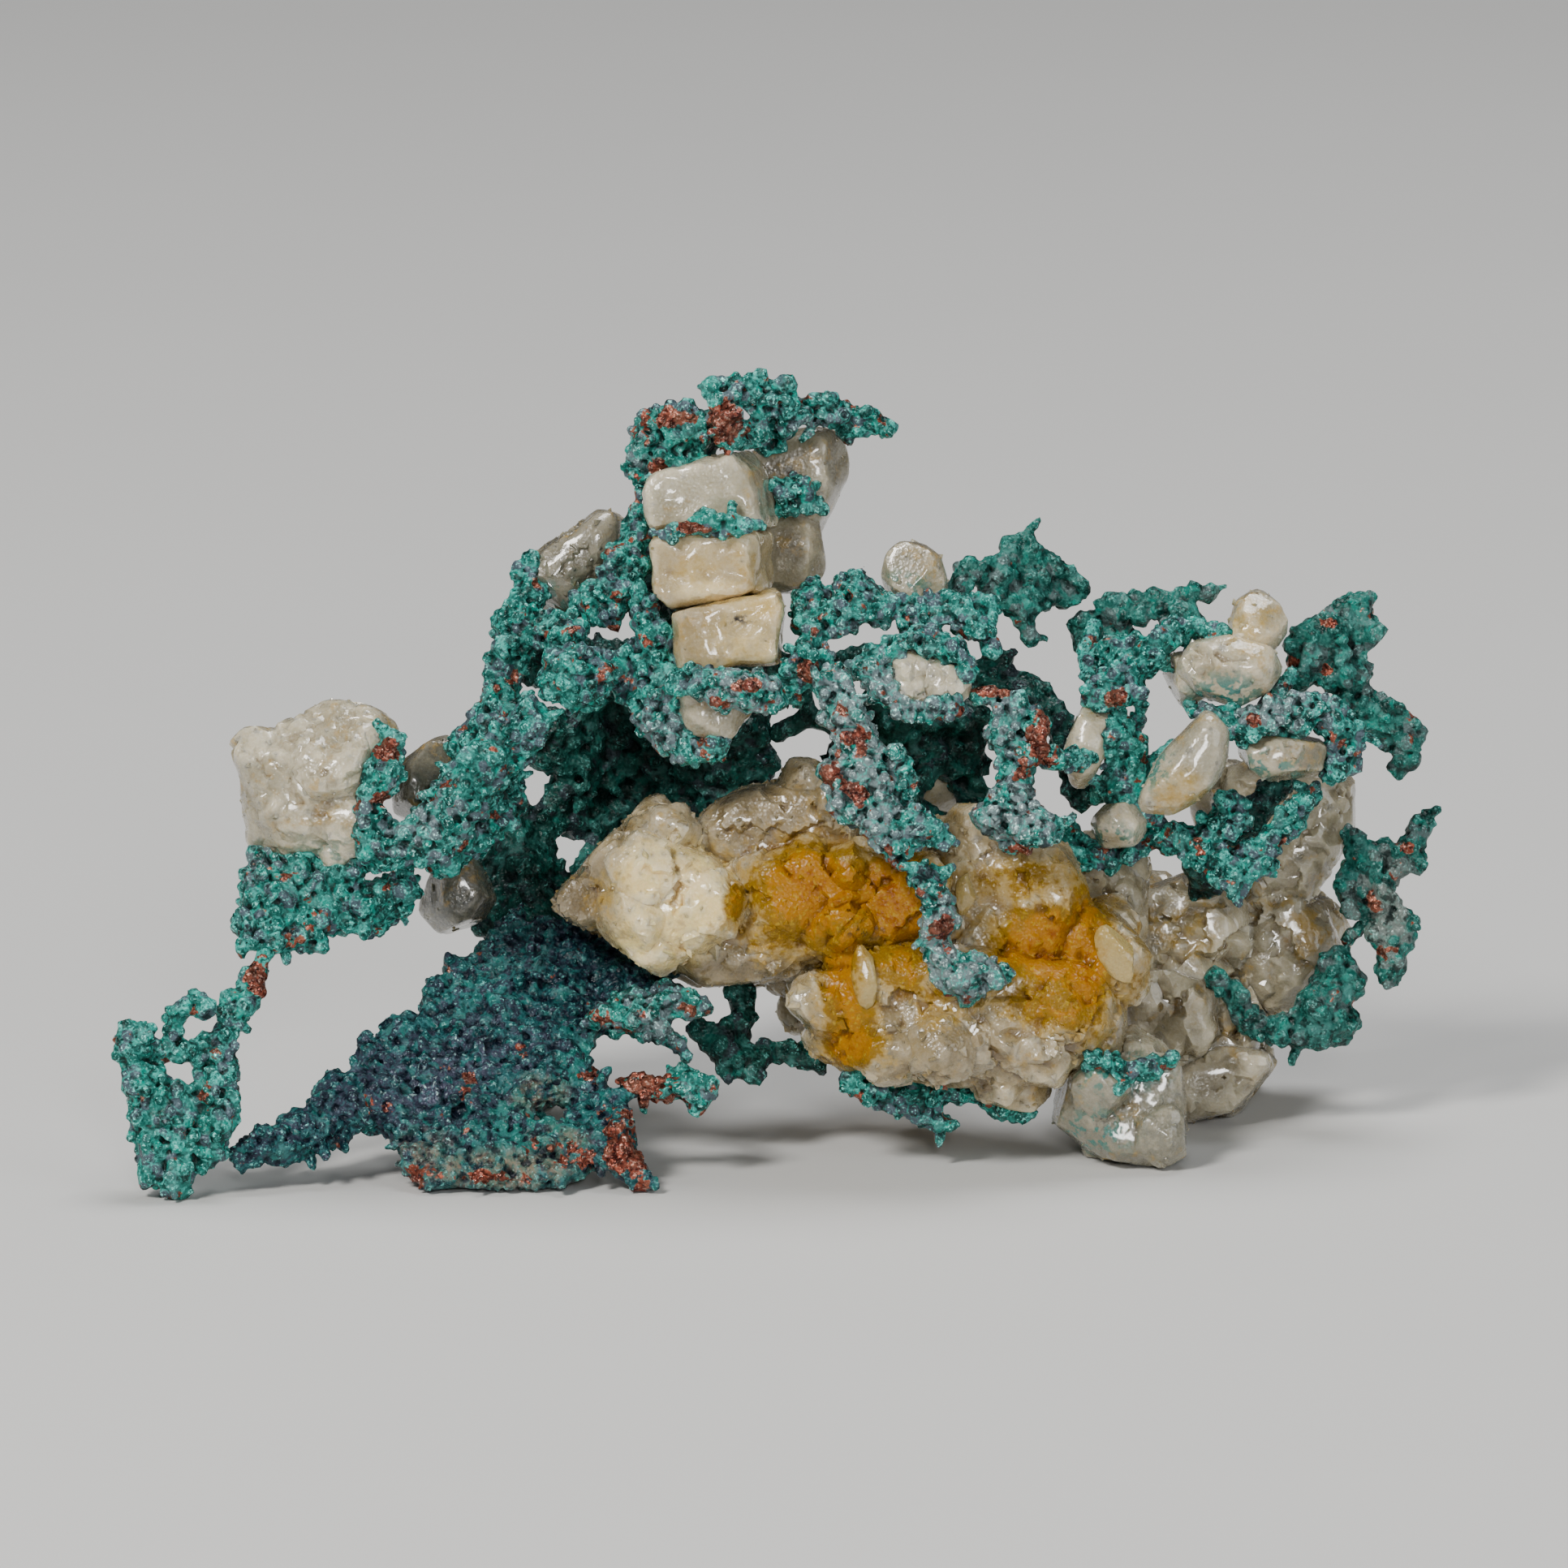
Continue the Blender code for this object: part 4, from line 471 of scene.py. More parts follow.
def crust(node, box, others, pitch, radius, lift, sprig_share, voxel, strands, patches):
    """A copper node's look: crystals fused over its solid, with numbers for the material."""
    chance = chance_for(node.name)
    solid = node.data
    spots, normals = scattered(solid, pitch, chance)
    raised = chance.uniform(*lift, size=len(spots))
    centres = spots + normals * raised[:, None] * MM
    radii = chance.uniform(*radius, size=len(spots))
    extra = [clumps(solid, pitch, radius, chance), sprigs(spots, normals, sprig_share, chance)]
    if node.name not in UNBONDED:
        extra.append(bonds(spots, others))
    extra += [strand(stops, chance) for stops in strands]
    for more_centres, more_radii in extra:
        centres = np.concatenate([centres, more_centres])
        radii = np.concatenate([radii, more_radii])
    low, high = box
    inside = np.all((centres > low + radii[:, None] * MM) & (centres < high - radii[:, None] * MM), axis=1)
    centres = centres[inside]
    radii = radii[inside]
    core = points_of(solid) - normals_of(solid) * CORE_SHRINK * MM
    crystals = crystals_mesh(centres, radii * MM, chance)
    mesh = remeshed(mesh_of(*joined([(core, triangles_of(solid)), crystals])), voxel)
    points = points_of(mesh)
    shift = sum(rough(points, wave, seed) * CRUST_ROUGHNESS for seed, wave in enumerate(CRUST_WAVES, 1))
    points = points + normals_of(mesh) * shift[:, None] * MM
    points[:, 2] = np.maximum(points[:, 2], 0.0)
    set_points(mesh, points)
    mesh = thinned(mesh, CRUST_KEPT)
    points = points_of(mesh)
    owner, first, second = nearest(points, centres)
    tints = chance.random(len(centres))
    set_values(mesh, "tint", tints[owner])
    set_values(mesh, "seam", np.clip((second - first) / (SEAM_WIDTH * MM), 0, 1))
    set_values(mesh, "hollow", hollows(mesh, HOLLOW_SPREAD))
    set_values(mesh, "pit", hollows(mesh, PIT_SPREAD))
    for kind in ("bare", "tone", "lilac", "dim", "sand"):
        set_values(mesh, kind, blob_sum(points, patches.get(kind, ())))
    mesh.shade_smooth()
    mesh.set_sharp_from_angle(angle=CRYSTAL_EDGE)
    return mesh


# Quartz


def blob_sum(points, blobs):
    """How strongly soft patches, given as seen from the front, cover each point."""
    across, up = as_seen(points)
    total = np.zeros(len(points))
    for middle_across, middle_up, wide, tall, strength in blobs:
        away = ((across - middle_across) / wide) ** 2 + ((up - middle_up) / tall) ** 2
        total = np.maximum(total, strength * np.exp(-away ** BLOB_EDGE))
    return total


def bed_crystals(spots, outward, pitch, reach, lean, chance):
    """For each spot a crystal sunk in the surface: its middle, and its faces' directions and distances."""
    count = len(spots)
    side = np.cross(outward, chance.normal(size=(count, 3)))
    side /= np.linalg.norm(side, axis=1)[:, None]
    other = np.cross(outward, side)
    turns = np.arange(BED_FACES) * 2 * math.pi / BED_FACES
    turns = turns + chance.normal(size=(count, BED_FACES)) * BED_TURN_SPREAD
    leans = chance.uniform(*lean, size=(count, BED_FACES))
    leans[:, 0] *= BED_TOP_LEAN
    sideways = side[:, None] * np.cos(turns)[..., None] + other[:, None] * np.sin(turns)[..., None]
    faces = outward[:, None] * np.cos(leans)[..., None] + sideways * np.sin(leans)[..., None]
    radii = pitch * chance.uniform(*BED_RADIUS, size=count)
    rise = chance.uniform(*BED_RISE, size=count) * reach - radii * BED_SUNK
    distances = radii[:, None] * chance.uniform(*BED_DISTANCE, size=(count, BED_FACES)) * MM
    return spots + outward * rise[:, None] * MM, faces, distances


def crystal_bed(mesh, pitch, reach, lean, chance):
    """Moves the mesh's points on to the faces of crystals packed side by side."""
    spots, outward = scattered(mesh, pitch, chance)
    centres, faces, distances = bed_crystals(spots, outward, pitch, reach, lean, chance)
    tree = tree_of(spots)
    points = points_of(mesh)
    normals = normals_of(mesh)
    count = min(BED_NEIGHBOURS, len(spots))
    near = np.array([[found[1] for found in tree.find_n(point, count)] for point in points.tolist()])
    for first in range(0, len(points), BED_BATCH):
        batch = slice(first, first + BED_BATCH)
        sets = near[batch]
        offset = points[batch, None] - centres[sets]
        gap = distances[sets] - np.einsum("nkc,nkfc->nkf", offset, faces[sets])
        along = np.einsum("nc,nkfc->nkf", normals[batch], faces[sets])
        missed = np.where(gap < 0, -1.0, 1.0)
        heights = np.where(along > BED_STEEPEST, gap / np.maximum(along, BED_STEEPEST), missed)
        shift = np.clip(heights.min(axis=2).max(axis=1), -reach * MM, reach * MM)
        points[batch] += normals[batch] * shift[:, None]
    set_points(mesh, points)
    return spots


def cut_flat(points, count, share, chance):
    """Points moved in to flat faces that cut them off at a share of their reach, in random directions."""
    middle = (points.min(axis=0) + points.max(axis=0)) / 2
    points = points - middle
    for _ in range(count):
        direction = chance.normal(size=3)
        direction /= np.linalg.norm(direction)
        heights = points @ direction
        over = np.maximum(heights - heights.max() * chance.uniform(*share), 0)
        points -= over[:, None] * direction
    return points + middle


def stud(mesh, across, up, long, wide, turn, chance):
    """Points and triangles of one blunt crystal standing out of the front of a mesh."""
    tree = BVHTree.FromPolygons(points_of(mesh).tolist(), triangles_of(mesh).tolist())
    toward = AWAY.normalized()
    hit = tree.ray_cast(place(across, up, IN_FRONT), toward)[0]
    if hit is None:
        return np.zeros((0, 3)), np.zeros((0, 3), dtype=int)
    shape = bmesh.new()
    bmesh.ops.create_icosphere(shape, subdivisions=STUD_FINENESS, radius=1.0)
    points, triangles = arrays_of(shape)
    points = cut_flat(points, STUD_CUTS, STUD_SHARE, chance) * (long, wide, wide * STUD_DEPTH)
    angle = math.radians(turn)
    axes = (RIGHT * math.cos(angle) + UPWARD * math.sin(angle),
            UPWARD * math.cos(angle) - RIGHT * math.sin(angle), toward * MM)
    points = points @ np.array([axis[:] for axis in axes]) + np.array(hit[:])
    return points, triangles


def splinter(number, chance):
    """Points and triangles of one crystal: a many-sided one, or a skewed block for an odd number."""
    shape = bmesh.new()
    if number % 2:
        corners_in = list(product(*((-half, half) for half in BLOCK_HALF)))
    else:
        corners_in = [chance.normal(size=3) for _ in range(SPLINTER_POINTS)]
        corners_in = [corner / np.linalg.norm(corner) for corner in corners_in]
    for corner in corners_in:
        shape.verts.new(corner + chance.normal(size=3) * BLOCK_SKEW * (number % 2))
    bmesh.ops.convex_hull(shape, input=shape.verts)
    bmesh.ops.triangulate(shape, faces=shape.faces)
    return arrays_of(shape)


def quartz_crystals(mesh, pitch, size, chance, zones=None):
    """Points, triangles and tints of small crystals half sunk in a quartz surface, or in zones of it."""
    spots, outward = scattered(mesh, pitch, chance)
    if zones is not None:
        kept = chance.random(len(spots)) < blob_sum(spots, zones)
        spots = spots[kept]
        outward = outward[kept]
    kinds = [splinter(number, chance) for number in range(SPLINTER_KINDS)]
    parts = []
    tints = []
    turns = random_turns(len(spots), chance)
    for number, (spot, normal) in enumerate(zip(spots, outward)):
        shape, triangles = kinds[number % SPLINTER_KINDS]
        radius = chance.uniform(*size) * MM
        stretch = chance.uniform(*SPLINTER_STRETCH, size=3)
        centre = spot - normal * radius * chance.uniform(*SPLINTER_SUNK)
        parts.append((shape * stretch * radius @ turns[number].T + centre, triangles))
        tints.append(np.full(len(shape), chance.random()))
    return *joined(parts), np.concatenate(tints)


def trimmed(points, lines):
    """Points moved in to each line, given by its two ends; the body lies on its right."""
    right = np.array(RIGHT[:]) / MM
    upward = np.array(UPWARD[:]) / MM
    for start_across, start_up, end_across, end_up in lines:
        across, up = as_seen(points)
        length = math.hypot(end_across - start_across, end_up - start_up)
        side = ((end_up - start_up) / length, (start_across - end_across) / length)
        inside = (across - start_across) * side[0] + (up - start_up) * side[1]
        over = np.maximum(-inside, 0) * TRIM_SHARE
        points = points + over[:, None] * (side[0] * right + side[1] * upward) * MM
    return points


def waved(mesh, waves):
    """Moves the mesh's points in and out by smooth noise, given as pairs of a pitch and a height."""
    points = points_of(mesh)
    for seed, (pitch, height) in enumerate(waves, 3):
        points = points + normals_of(mesh) * (rough(points, pitch, seed) * height * MM)[:, None]
    set_points(mesh, points)


def druse(node, box, patches, studs, trims, beds=(), waves=(), sugar=(), grains=(), swell=0.0, cuts=0):
    """A quartz node's look: its solid with the faces of packed crystals, and smaller ones on them."""
    chance = chance_for(node.name)
    mesh = remeshed(node.data.copy(), QUARTZ_VOXEL)
    swollen = points_of(mesh) + normals_of(mesh) * swell * MM
    set_points(mesh, trimmed(cut_flat(swollen, cuts, CRYSTAL_SHARE, chance), trims))
    spots = points_of(mesh)[:1]
    for pitch, reach, lean in beds:
        spots = crystal_bed(mesh, pitch, reach, lean, chance)
    waved(mesh, waves)
    mesh = thinned(mesh, QUARTZ_KEPT)
    points = points_of(mesh)
    triangles = triangles_of(mesh)
    tints = chance.random(len(spots))[nearest(points, spots)[0]]
    hollow = hollows(mesh, QUARTZ_HOLLOW_SPREAD)
    clear = np.zeros(len(points))
    extra = [quartz_crystals(mesh, pitch, size, chance) + (0.0,) for pitch, size in sugar]
    extra += [quartz_crystals(mesh, pitch, size, chance, patches.get("grain", ())) + (0.0,)
              for pitch, size in grains]
    for across, up, long, wide, turn in studs:
        more_points, more_triangles = stud(mesh, across, up, long, wide, turn, chance)
        extra.append((more_points, more_triangles, np.full(len(more_points), 0.5), 1.0))
    for more_points, more_triangles, more_tints, more_clear in extra:
        triangles = np.concatenate([triangles, more_triangles + len(points)])
        points = np.concatenate([points, more_points])
        tints = np.concatenate([tints, more_tints])
        hollow = np.concatenate([hollow, np.zeros(len(more_points))])
        clear = np.concatenate([clear, np.full(len(more_points), more_clear)])
    mesh = mesh_of(np.clip(points, *box), triangles)
    points = points_of(mesh)
    set_values(mesh, "tint", tints)
    set_values(mesh, "hollow", hollow)
    set_values(mesh, "clear", clear)
    for kind in ("stain", "shade", "cream", "yellow", "speck", "green"):
        set_values(mesh, kind, blob_sum(points, patches.get(kind, ())))
    mesh.shade_smooth()
    mesh.set_sharp_from_angle(angle=SHARP_ANGLE)
    return mesh


# Materials

NOISE_ROUGHNESS = 0.6

# Colours on the copper
CHALKY_GREEN = (0.075, 0.24, 0.22)
VIVID_GREEN = (0.0, 0.30, 0.23)
PLAIN_GREEN = (0.012, 0.19, 0.15)
SANDY = ((0.13, 0.19, 0.14), (0.27, 0.20, 0.13))
# Painted glints: highlights painted on the crystals' ridges, from green to white
PAINTED_GLINTS = ((0.25, 0.78, 0.70), (0.75, 0.96, 0.93))
BARE_COPPER = ((0.075, 0.017, 0.014), (0.28, 0.068, 0.040))
BARE_PALE = (0.30, 0.115, 0.070)
# A painted highlight on the bare copper
PAINTED_BARE_GLINT = (0.62, 0.36, 0.28)

# Colours on the quartz
CREAM = (0.88, 0.68, 0.30)
YELLOW = (0.50, 0.32, 0.035)
PALE_CRYSTAL = (0.80, 0.70, 0.50)
DARK_CRYSTAL = (0.20, 0.150, 0.075)
# Painted light on the quartz's ridges
PAINTED_EDGE_LIGHT = (0.92, 0.84, 0.66)
HONEY = (0.44, 0.32, 0.10)
OCHRE = (0.40, 0.26, 0.065)
AMBER = (0.24, 0.128, 0.005)
ORANGE = (0.35, 0.145, 0.0)
RUST = (0.20, 0.040, 0.002)
PAINTED_SPARKLE = (0.44, 0.29, 0.02)
PAINTED_CREVICE_SHADE = (0.42, 0.32, 0.20)
BLACK_SPECK = (0.03, 0.02, 0.01)
GREEN_FILM = (0.02, 0.17, 0.14)


class Material:
    """A node material built step by step."""

    def __init__(self, name):
        self.material = bpy.data.materials.new(name)
        self.material.use_nodes = True
        self.tree = self.material.node_tree
        self.shader = self.tree.nodes["Principled BSDF"]

    def node(self, kind, inputs=(), **settings):
        """A node with its settings, and with values or links for its inputs by name or number."""
        made = self.tree.nodes.new(kind)
        for name, value in settings.items():
            setattr(made, name, value)
        for key, value in dict(inputs).items():
            self.feed(made.inputs[key], value)
        return made

    def feed(self, socket, value):
        """Sets an input to a value, or links it to another node's output."""
        if isinstance(value, bpy.types.NodeSocket):
            self.tree.links.new(value, socket)
        else:
            socket.default_value = value

    def number(self, name):
        """A number kept for each point of the mesh."""
        return self.node("ShaderNodeAttribute", attribute_name=name).outputs["Fac"]

    def pattern(self, kind, pitch, inputs=()):
        """The outputs of a pattern that varies over about the pitch in millimetres."""
        where = self.node("ShaderNodeTexCoord").outputs["Object"]
        return self.node(kind, {"Vector": where, "Scale": 1 / (pitch * MM), **dict(inputs)}).outputs

    def noise(self, pitch, detail=3.0):
        """Smooth noise between 0 and 1."""
        inputs = {"Detail": detail, "Roughness": NOISE_ROUGHNESS}
        return self.pattern("ShaderNodeTexNoise", pitch, inputs)["Fac"]

    def cells(self, pitch):
        """Small cells, as the distance from each one's middle."""
        return self.pattern("ShaderNodeTexVoronoi", pitch)["Distance"]

    def span(self, value, low, high, out_low=0.0, out_high=1.0):
        """A number moved smoothly from one range to another."""
        return self.node("ShaderNodeMapRange", {
            "Value": value, "From Min": low, "From Max": high, "To Min": out_low, "To Max": out_high,
        }, interpolation_type="SMOOTHSTEP").outputs["Result"]

    def maths(self, operation, first, second):
        """Arithmetic on numbers."""
        return self.node("ShaderNodeMath", {0: first, 1: second}, operation=operation).outputs[0]

    def times(self, first, second):
        """The product of two numbers."""
        return self.maths("MULTIPLY", first, second)

    def plus(self, first, second):
        """The sum of two numbers."""
        return self.maths("ADD", first, second)

    def mix(self, share, first, second, blend="MIX"):
        """A mix of two colours."""
        made = self.node("ShaderNodeMix", data_type="RGBA", blend_type=blend)
        for socket, value in zip((made.inputs[0], made.inputs[6], made.inputs[7]), (share, first, second)):
            self.feed(socket, (*value, 1.0) if isinstance(value, tuple) and len(value) == 3 else value)
        return made.outputs[2]

    def layer(self, below, colour, value, low, high, most=1.0):
        """A colour laid over the one below, as far as a value has come from low to high."""
        return self.mix(self.span(value, low, high, 0.0, most), below, colour)

    def bump(self, height, distance, strength=1.0, below=None):
        """A bump from a height between 0 and 1; the distance is in millimetres."""
        inputs = {"Height": height, "Distance": distance * MM, "Strength": strength}
        if below is not None:
            inputs["Normal"] = below
        return self.node("ShaderNodeBump", inputs).outputs["Normal"]

    def finish(self, colour, roughness, normal, metallic=0.0, **others):
        """Feeds the shader and gives the material."""
        self.feed(self.shader.inputs["Base Color"], colour)
        self.feed(self.shader.inputs["Roughness"], roughness)
        self.feed(self.shader.inputs["Metallic"], metallic)
        self.feed(self.shader.inputs["Normal"], normal)
        for name, value in others.items():
            self.feed(self.shader.inputs[name.replace("_", " ")], value)
        return self.material


def copper_material(name, deep, body, pale, grey, grey_share, bare_from, rims_and_painted_glints, vivid=0.5,
                    light_grey=(0.22, 0.28, 0.29), dark=(0.001, 0.008, 0.007)):
    """Crystallised copper under verdigris, with some patches left bare, painted glints and painted shade in
    its hollows.
    """
    m = Material(name)
    tint = m.number("tint")
    hollow = m.number("hollow")
    tone = m.number("tone")
    lilac = m.number("lilac")
    patchy = m.noise(0.7, detail=4.0)
    fine = m.noise(0.2, detail=4.0)
    speck = m.noise(0.11, detail=2.0)

    # Verdigris
    colour = m.mix(m.span(m.plus(m.noise(1.5), m.times(tone, 0.25)), 0.38, 0.60), deep, body)
    colour = m.layer(colour, CHALKY_GREEN, m.noise(1.1, detail=2.0), 0.52, 0.66, 0.5)
    colour = m.layer(colour, VIVID_GREEN, m.noise(0.5, detail=1.0), 0.57, 0.66, vivid)
    colour = m.mix(m.times(tone, 0.6), colour, PLAIN_GREEN)
    colour = m.layer(colour, pale, fine, 0.45, 0.62, 0.3)

    # Greyed crystals, pale rims, sand, and painted glints on the ridges, whiter in the lilac patches
    greyness = m.plus(m.plus(tint, m.times(lilac, 0.6)), m.span(patchy, 0.35, 0.65, -0.12, 0.12))
    greyed = m.span(greyness, 0.9 - grey_share, 1.1 - grey_share, 0.0, 0.9)
    colour = m.mix(greyed, colour, m.mix(lilac, grey, light_grey))
    rim = m.times(m.span(m.number("seam"), 0.5, 0.05), m.span(speck, 0.38, 0.52))
    colour = m.mix(m.times(rim, rims_and_painted_glints), colour, pale)
    sand = m.times(m.number("sand"), m.span(patchy, 0.38, 0.58))
    colour = m.mix(sand, colour, m.mix(m.span(fine, 0.4, 0.6), *SANDY))
    painted_glint = m.times(m.span(speck, 0.55, 0.62), m.span(hollow, -0.02, -0.14))
    colour = m.mix(m.times(painted_glint, rims_and_painted_glints), colour, m.mix(lilac, *PAINTED_GLINTS))

    # Bare copper, with painted glints on it
    ore = m.plus(m.plus(m.noise(0.8), m.times(tint, 0.06)), m.times(m.number("bare"), 0.36))
    bare = m.span(ore, bare_from, bare_from + 0.03, 0.0, 0.95)
    metal = m.mix(m.span(fine, 0.38, 0.60), *BARE_COPPER)
    metal = m.layer(metal, BARE_PALE, tint, 0.6, 1.0, 0.6)
    metal = m.layer(metal, PAINTED_BARE_GLINT, speck, 0.55, 0.63, 0.6)
    colour = m.mix(bare, colour, metal)

    # Painted shade: dark random spots, dark hollows and dark pits, fewer in bare copper; and darker dim
    # patches
    painted_shade_share = m.maths("SUBTRACT", 1.0, m.times(bare, 0.7))
    colour = m.mix(m.times(painted_shade_share, m.span(m.noise(0.45), 0.48, 0.36, 0.0, 0.8)), colour, dark)
    colour = m.mix(m.times(m.number("dim"), 0.7), colour, dark)
    colour = m.mix(m.times(painted_shade_share, m.span(hollow, 0.08, 0.28, 0.0, 0.85)), colour, dark)
    colour = m.mix(m.times(painted_shade_share, m.span(m.number("pit"), 0.04, 0.14, 0.0, 0.85)), colour, dark)
    metallic = m.maths("MAXIMUM", m.times(bare, 0.75), m.times(greyed, 0.3))
    normal = m.bump(m.cells(0.15), 0.05, 0.8)
    normal = m.bump(fine, 0.04, 0.8, below=normal)
    return m.finish(colour, m.span(fine, 0.35, 0.7, 0.22, 0.55), normal, metallic, Specular_IOR_Level=0.2)


def quartz_material(name, milk, shade, grit=1.0, dusk=(0.16, 0.12, 0.062)):
    """Milky quartz with sugary faces, stained in patches, with painted light on ridges and stain and painted
    shade in crevices.
    """
    m = Material(name)
    tint = m.number("tint")
    hollow = m.number("hollow")
    clear = m.number("clear")
    cloud = m.noise(1.6, detail=4.0)
    fine = m.noise(0.35, detail=5.0)
    speck = m.noise(0.12)
    ragged = m.span(fine, 0.3, 0.7, -0.12, 0.12)

    # Milk, cream and yellow, crystal by crystal, and painted light on the ridges
    colour = m.mix(m.span(cloud, 0.36, 0.66), milk, shade)
    colour = m.layer(colour, CREAM, m.plus(m.number("cream"), ragged), 0.12, 0.6)
    colour = m.layer(colour, YELLOW, m.plus(m.number("yellow"), ragged), 0.15, 0.8)
    colour = m.layer(colour, PALE_CRYSTAL, tint, 0.55, 1.0, 0.3)
    colour = m.layer(colour, DARK_CRYSTAL, tint, 0.45, 0.0, 0.3 * grit)
    colour = m.layer(colour, PAINTED_EDGE_LIGHT, hollow, -0.03, -0.16, 0.3)
    colour = m.mix(m.times(m.number("shade"), m.span(fine, 0.3, 0.6, 0.7, 1.0)), colour, dusk)
    colour = m.mix(m.times(clear, 0.75), colour, HONEY)

    # Iron stain, from its pale edge to its orange middle, with rust and painted sparkles
    stain = m.plus(m.plus(m.number("stain"), ragged), m.span(cloud, 0.35, 0.65, -0.12, 0.12))
    stain = m.maths("SUBTRACT", stain, m.times(clear, 0.5))
    colour = m.layer(colour, OCHRE, stain, 0.06, 0.28, 0.8)
    colour = m.layer(colour, AMBER, stain, 0.28, 0.46)
    colour = m.layer(colour, ORANGE, stain, 0.52, 0.78)
    rust = m.times(m.span(stain, 0.88, 1.12), m.span(m.noise(0.5, detail=4.0), 0.44, 0.60, 0.0, 0.75))
    colour = m.mix(rust, colour, RUST)
    painted_sparkle = m.times(m.span(stain, 0.2, 0.4), m.span(m.noise(0.17, detail=2.0), 0.57, 0.66, 0.0, 0.6))
    colour = m.mix(painted_sparkle, colour, PAINTED_SPARKLE)

    # Painted shade in the crevices, black specks and a green film
    painted_crevice_shade = m.mix(1.0, colour, PAINTED_CREVICE_SHADE, blend="MULTIPLY")
    colour = m.layer(colour, painted_crevice_shade, hollow, 0.02, 0.14, 0.75)
    colour = m.mix(m.times(m.number("speck"), m.span(m.noise(0.25), 0.52, 0.60)), colour, BLACK_SPECK)
    film = m.times(m.number("green"), m.span(m.noise(0.4, detail=2.0), 0.48, 0.58))
    colour = m.mix(film, colour, GREEN_FILM)
    normal = m.bump(m.cells(0.14), 0.035, 0.6 * grit)
    normal = m.bump(fine, 0.05, 0.7, below=normal)
    return m.finish(colour, m.span(speck, 0.35, 0.65, 0.12, 0.38), normal, IOR=1.54,
                    Subsurface_Weight=m.span(stain, 0.1, 0.5, 0.45, 0.09),
                    Subsurface_Scale=0.5 * MM, Subsurface_Radius=(1.0, 0.8, 0.45),
                    Specular_IOR_Level=m.span(stain, 0.1, 0.5, 0.5, 0.2),
                    Coat_Weight=m.span(stain, 0.1, 0.5, 0.8, 0.0), Coat_Roughness=0.08)


COPPER_FINISHES = {
    "copper_green": dict(deep=(0.002, 0.036, 0.031), body=(0.006, 0.122, 0.100), pale=(0.08, 0.50, 0.43),
                         grey=(0.085, 0.115, 0.145), grey_share=0.28, bare_from=0.655, rims_and_painted_glints=0.85,
                         vivid=0.8),
    "copper_mint": dict(deep=(0.003, 0.046, 0.038), body=(0.009, 0.110, 0.090), pale=(0.07, 0.30, 0.25),
                        grey=(0.090, 0.130, 0.130), grey_share=0.25, bare_from=0.70, rims_and_painted_glints=0.35,
                        light_grey=(0.23, 0.25, 0.22)),
    "copper_blue": dict(deep=(0.003, 0.012, 0.022), body=(0.006, 0.052, 0.058), pale=(0.05, 0.21, 0.22),
                        grey=(0.030, 0.038, 0.062), grey_share=0.36, bare_from=0.72, rims_and_painted_glints=0.45, vivid=0.25,
                        light_grey=(0.066, 0.064, 0.108), dark=(0.002, 0.005, 0.013)),
    # copper_dark: the same verdigris, darker all over, as painted shade
    "copper_dark": dict(deep=(0.002, 0.018, 0.015), body=(0.006, 0.058, 0.048), pale=(0.03, 0.15, 0.12),
                        grey=(0.03, 0.04, 0.05), grey_share=0.2, bare_from=0.77, rims_and_painted_glints=0.3, vivid=0.2),
}
QUARTZ_FINISHES = {
    "quartz_milky": dict(milk=(0.52, 0.47, 0.34), shade=(0.34, 0.30, 0.20), dusk=(0.115, 0.115, 0.085)),
    "quartz_yellow": dict(milk=(0.46, 0.34, 0.125), shade=(0.32, 0.225, 0.075), grit=0.4),
    "quartz_stained": dict(milk=(0.44, 0.34, 0.17), shade=(0.22, 0.165, 0.075)),
    "quartz_grey": dict(milk=(0.33, 0.29, 0.19), shade=(0.19, 0.16, 0.100), grit=0.6,
                        dusk=(0.055, 0.062, 0.055)),
}

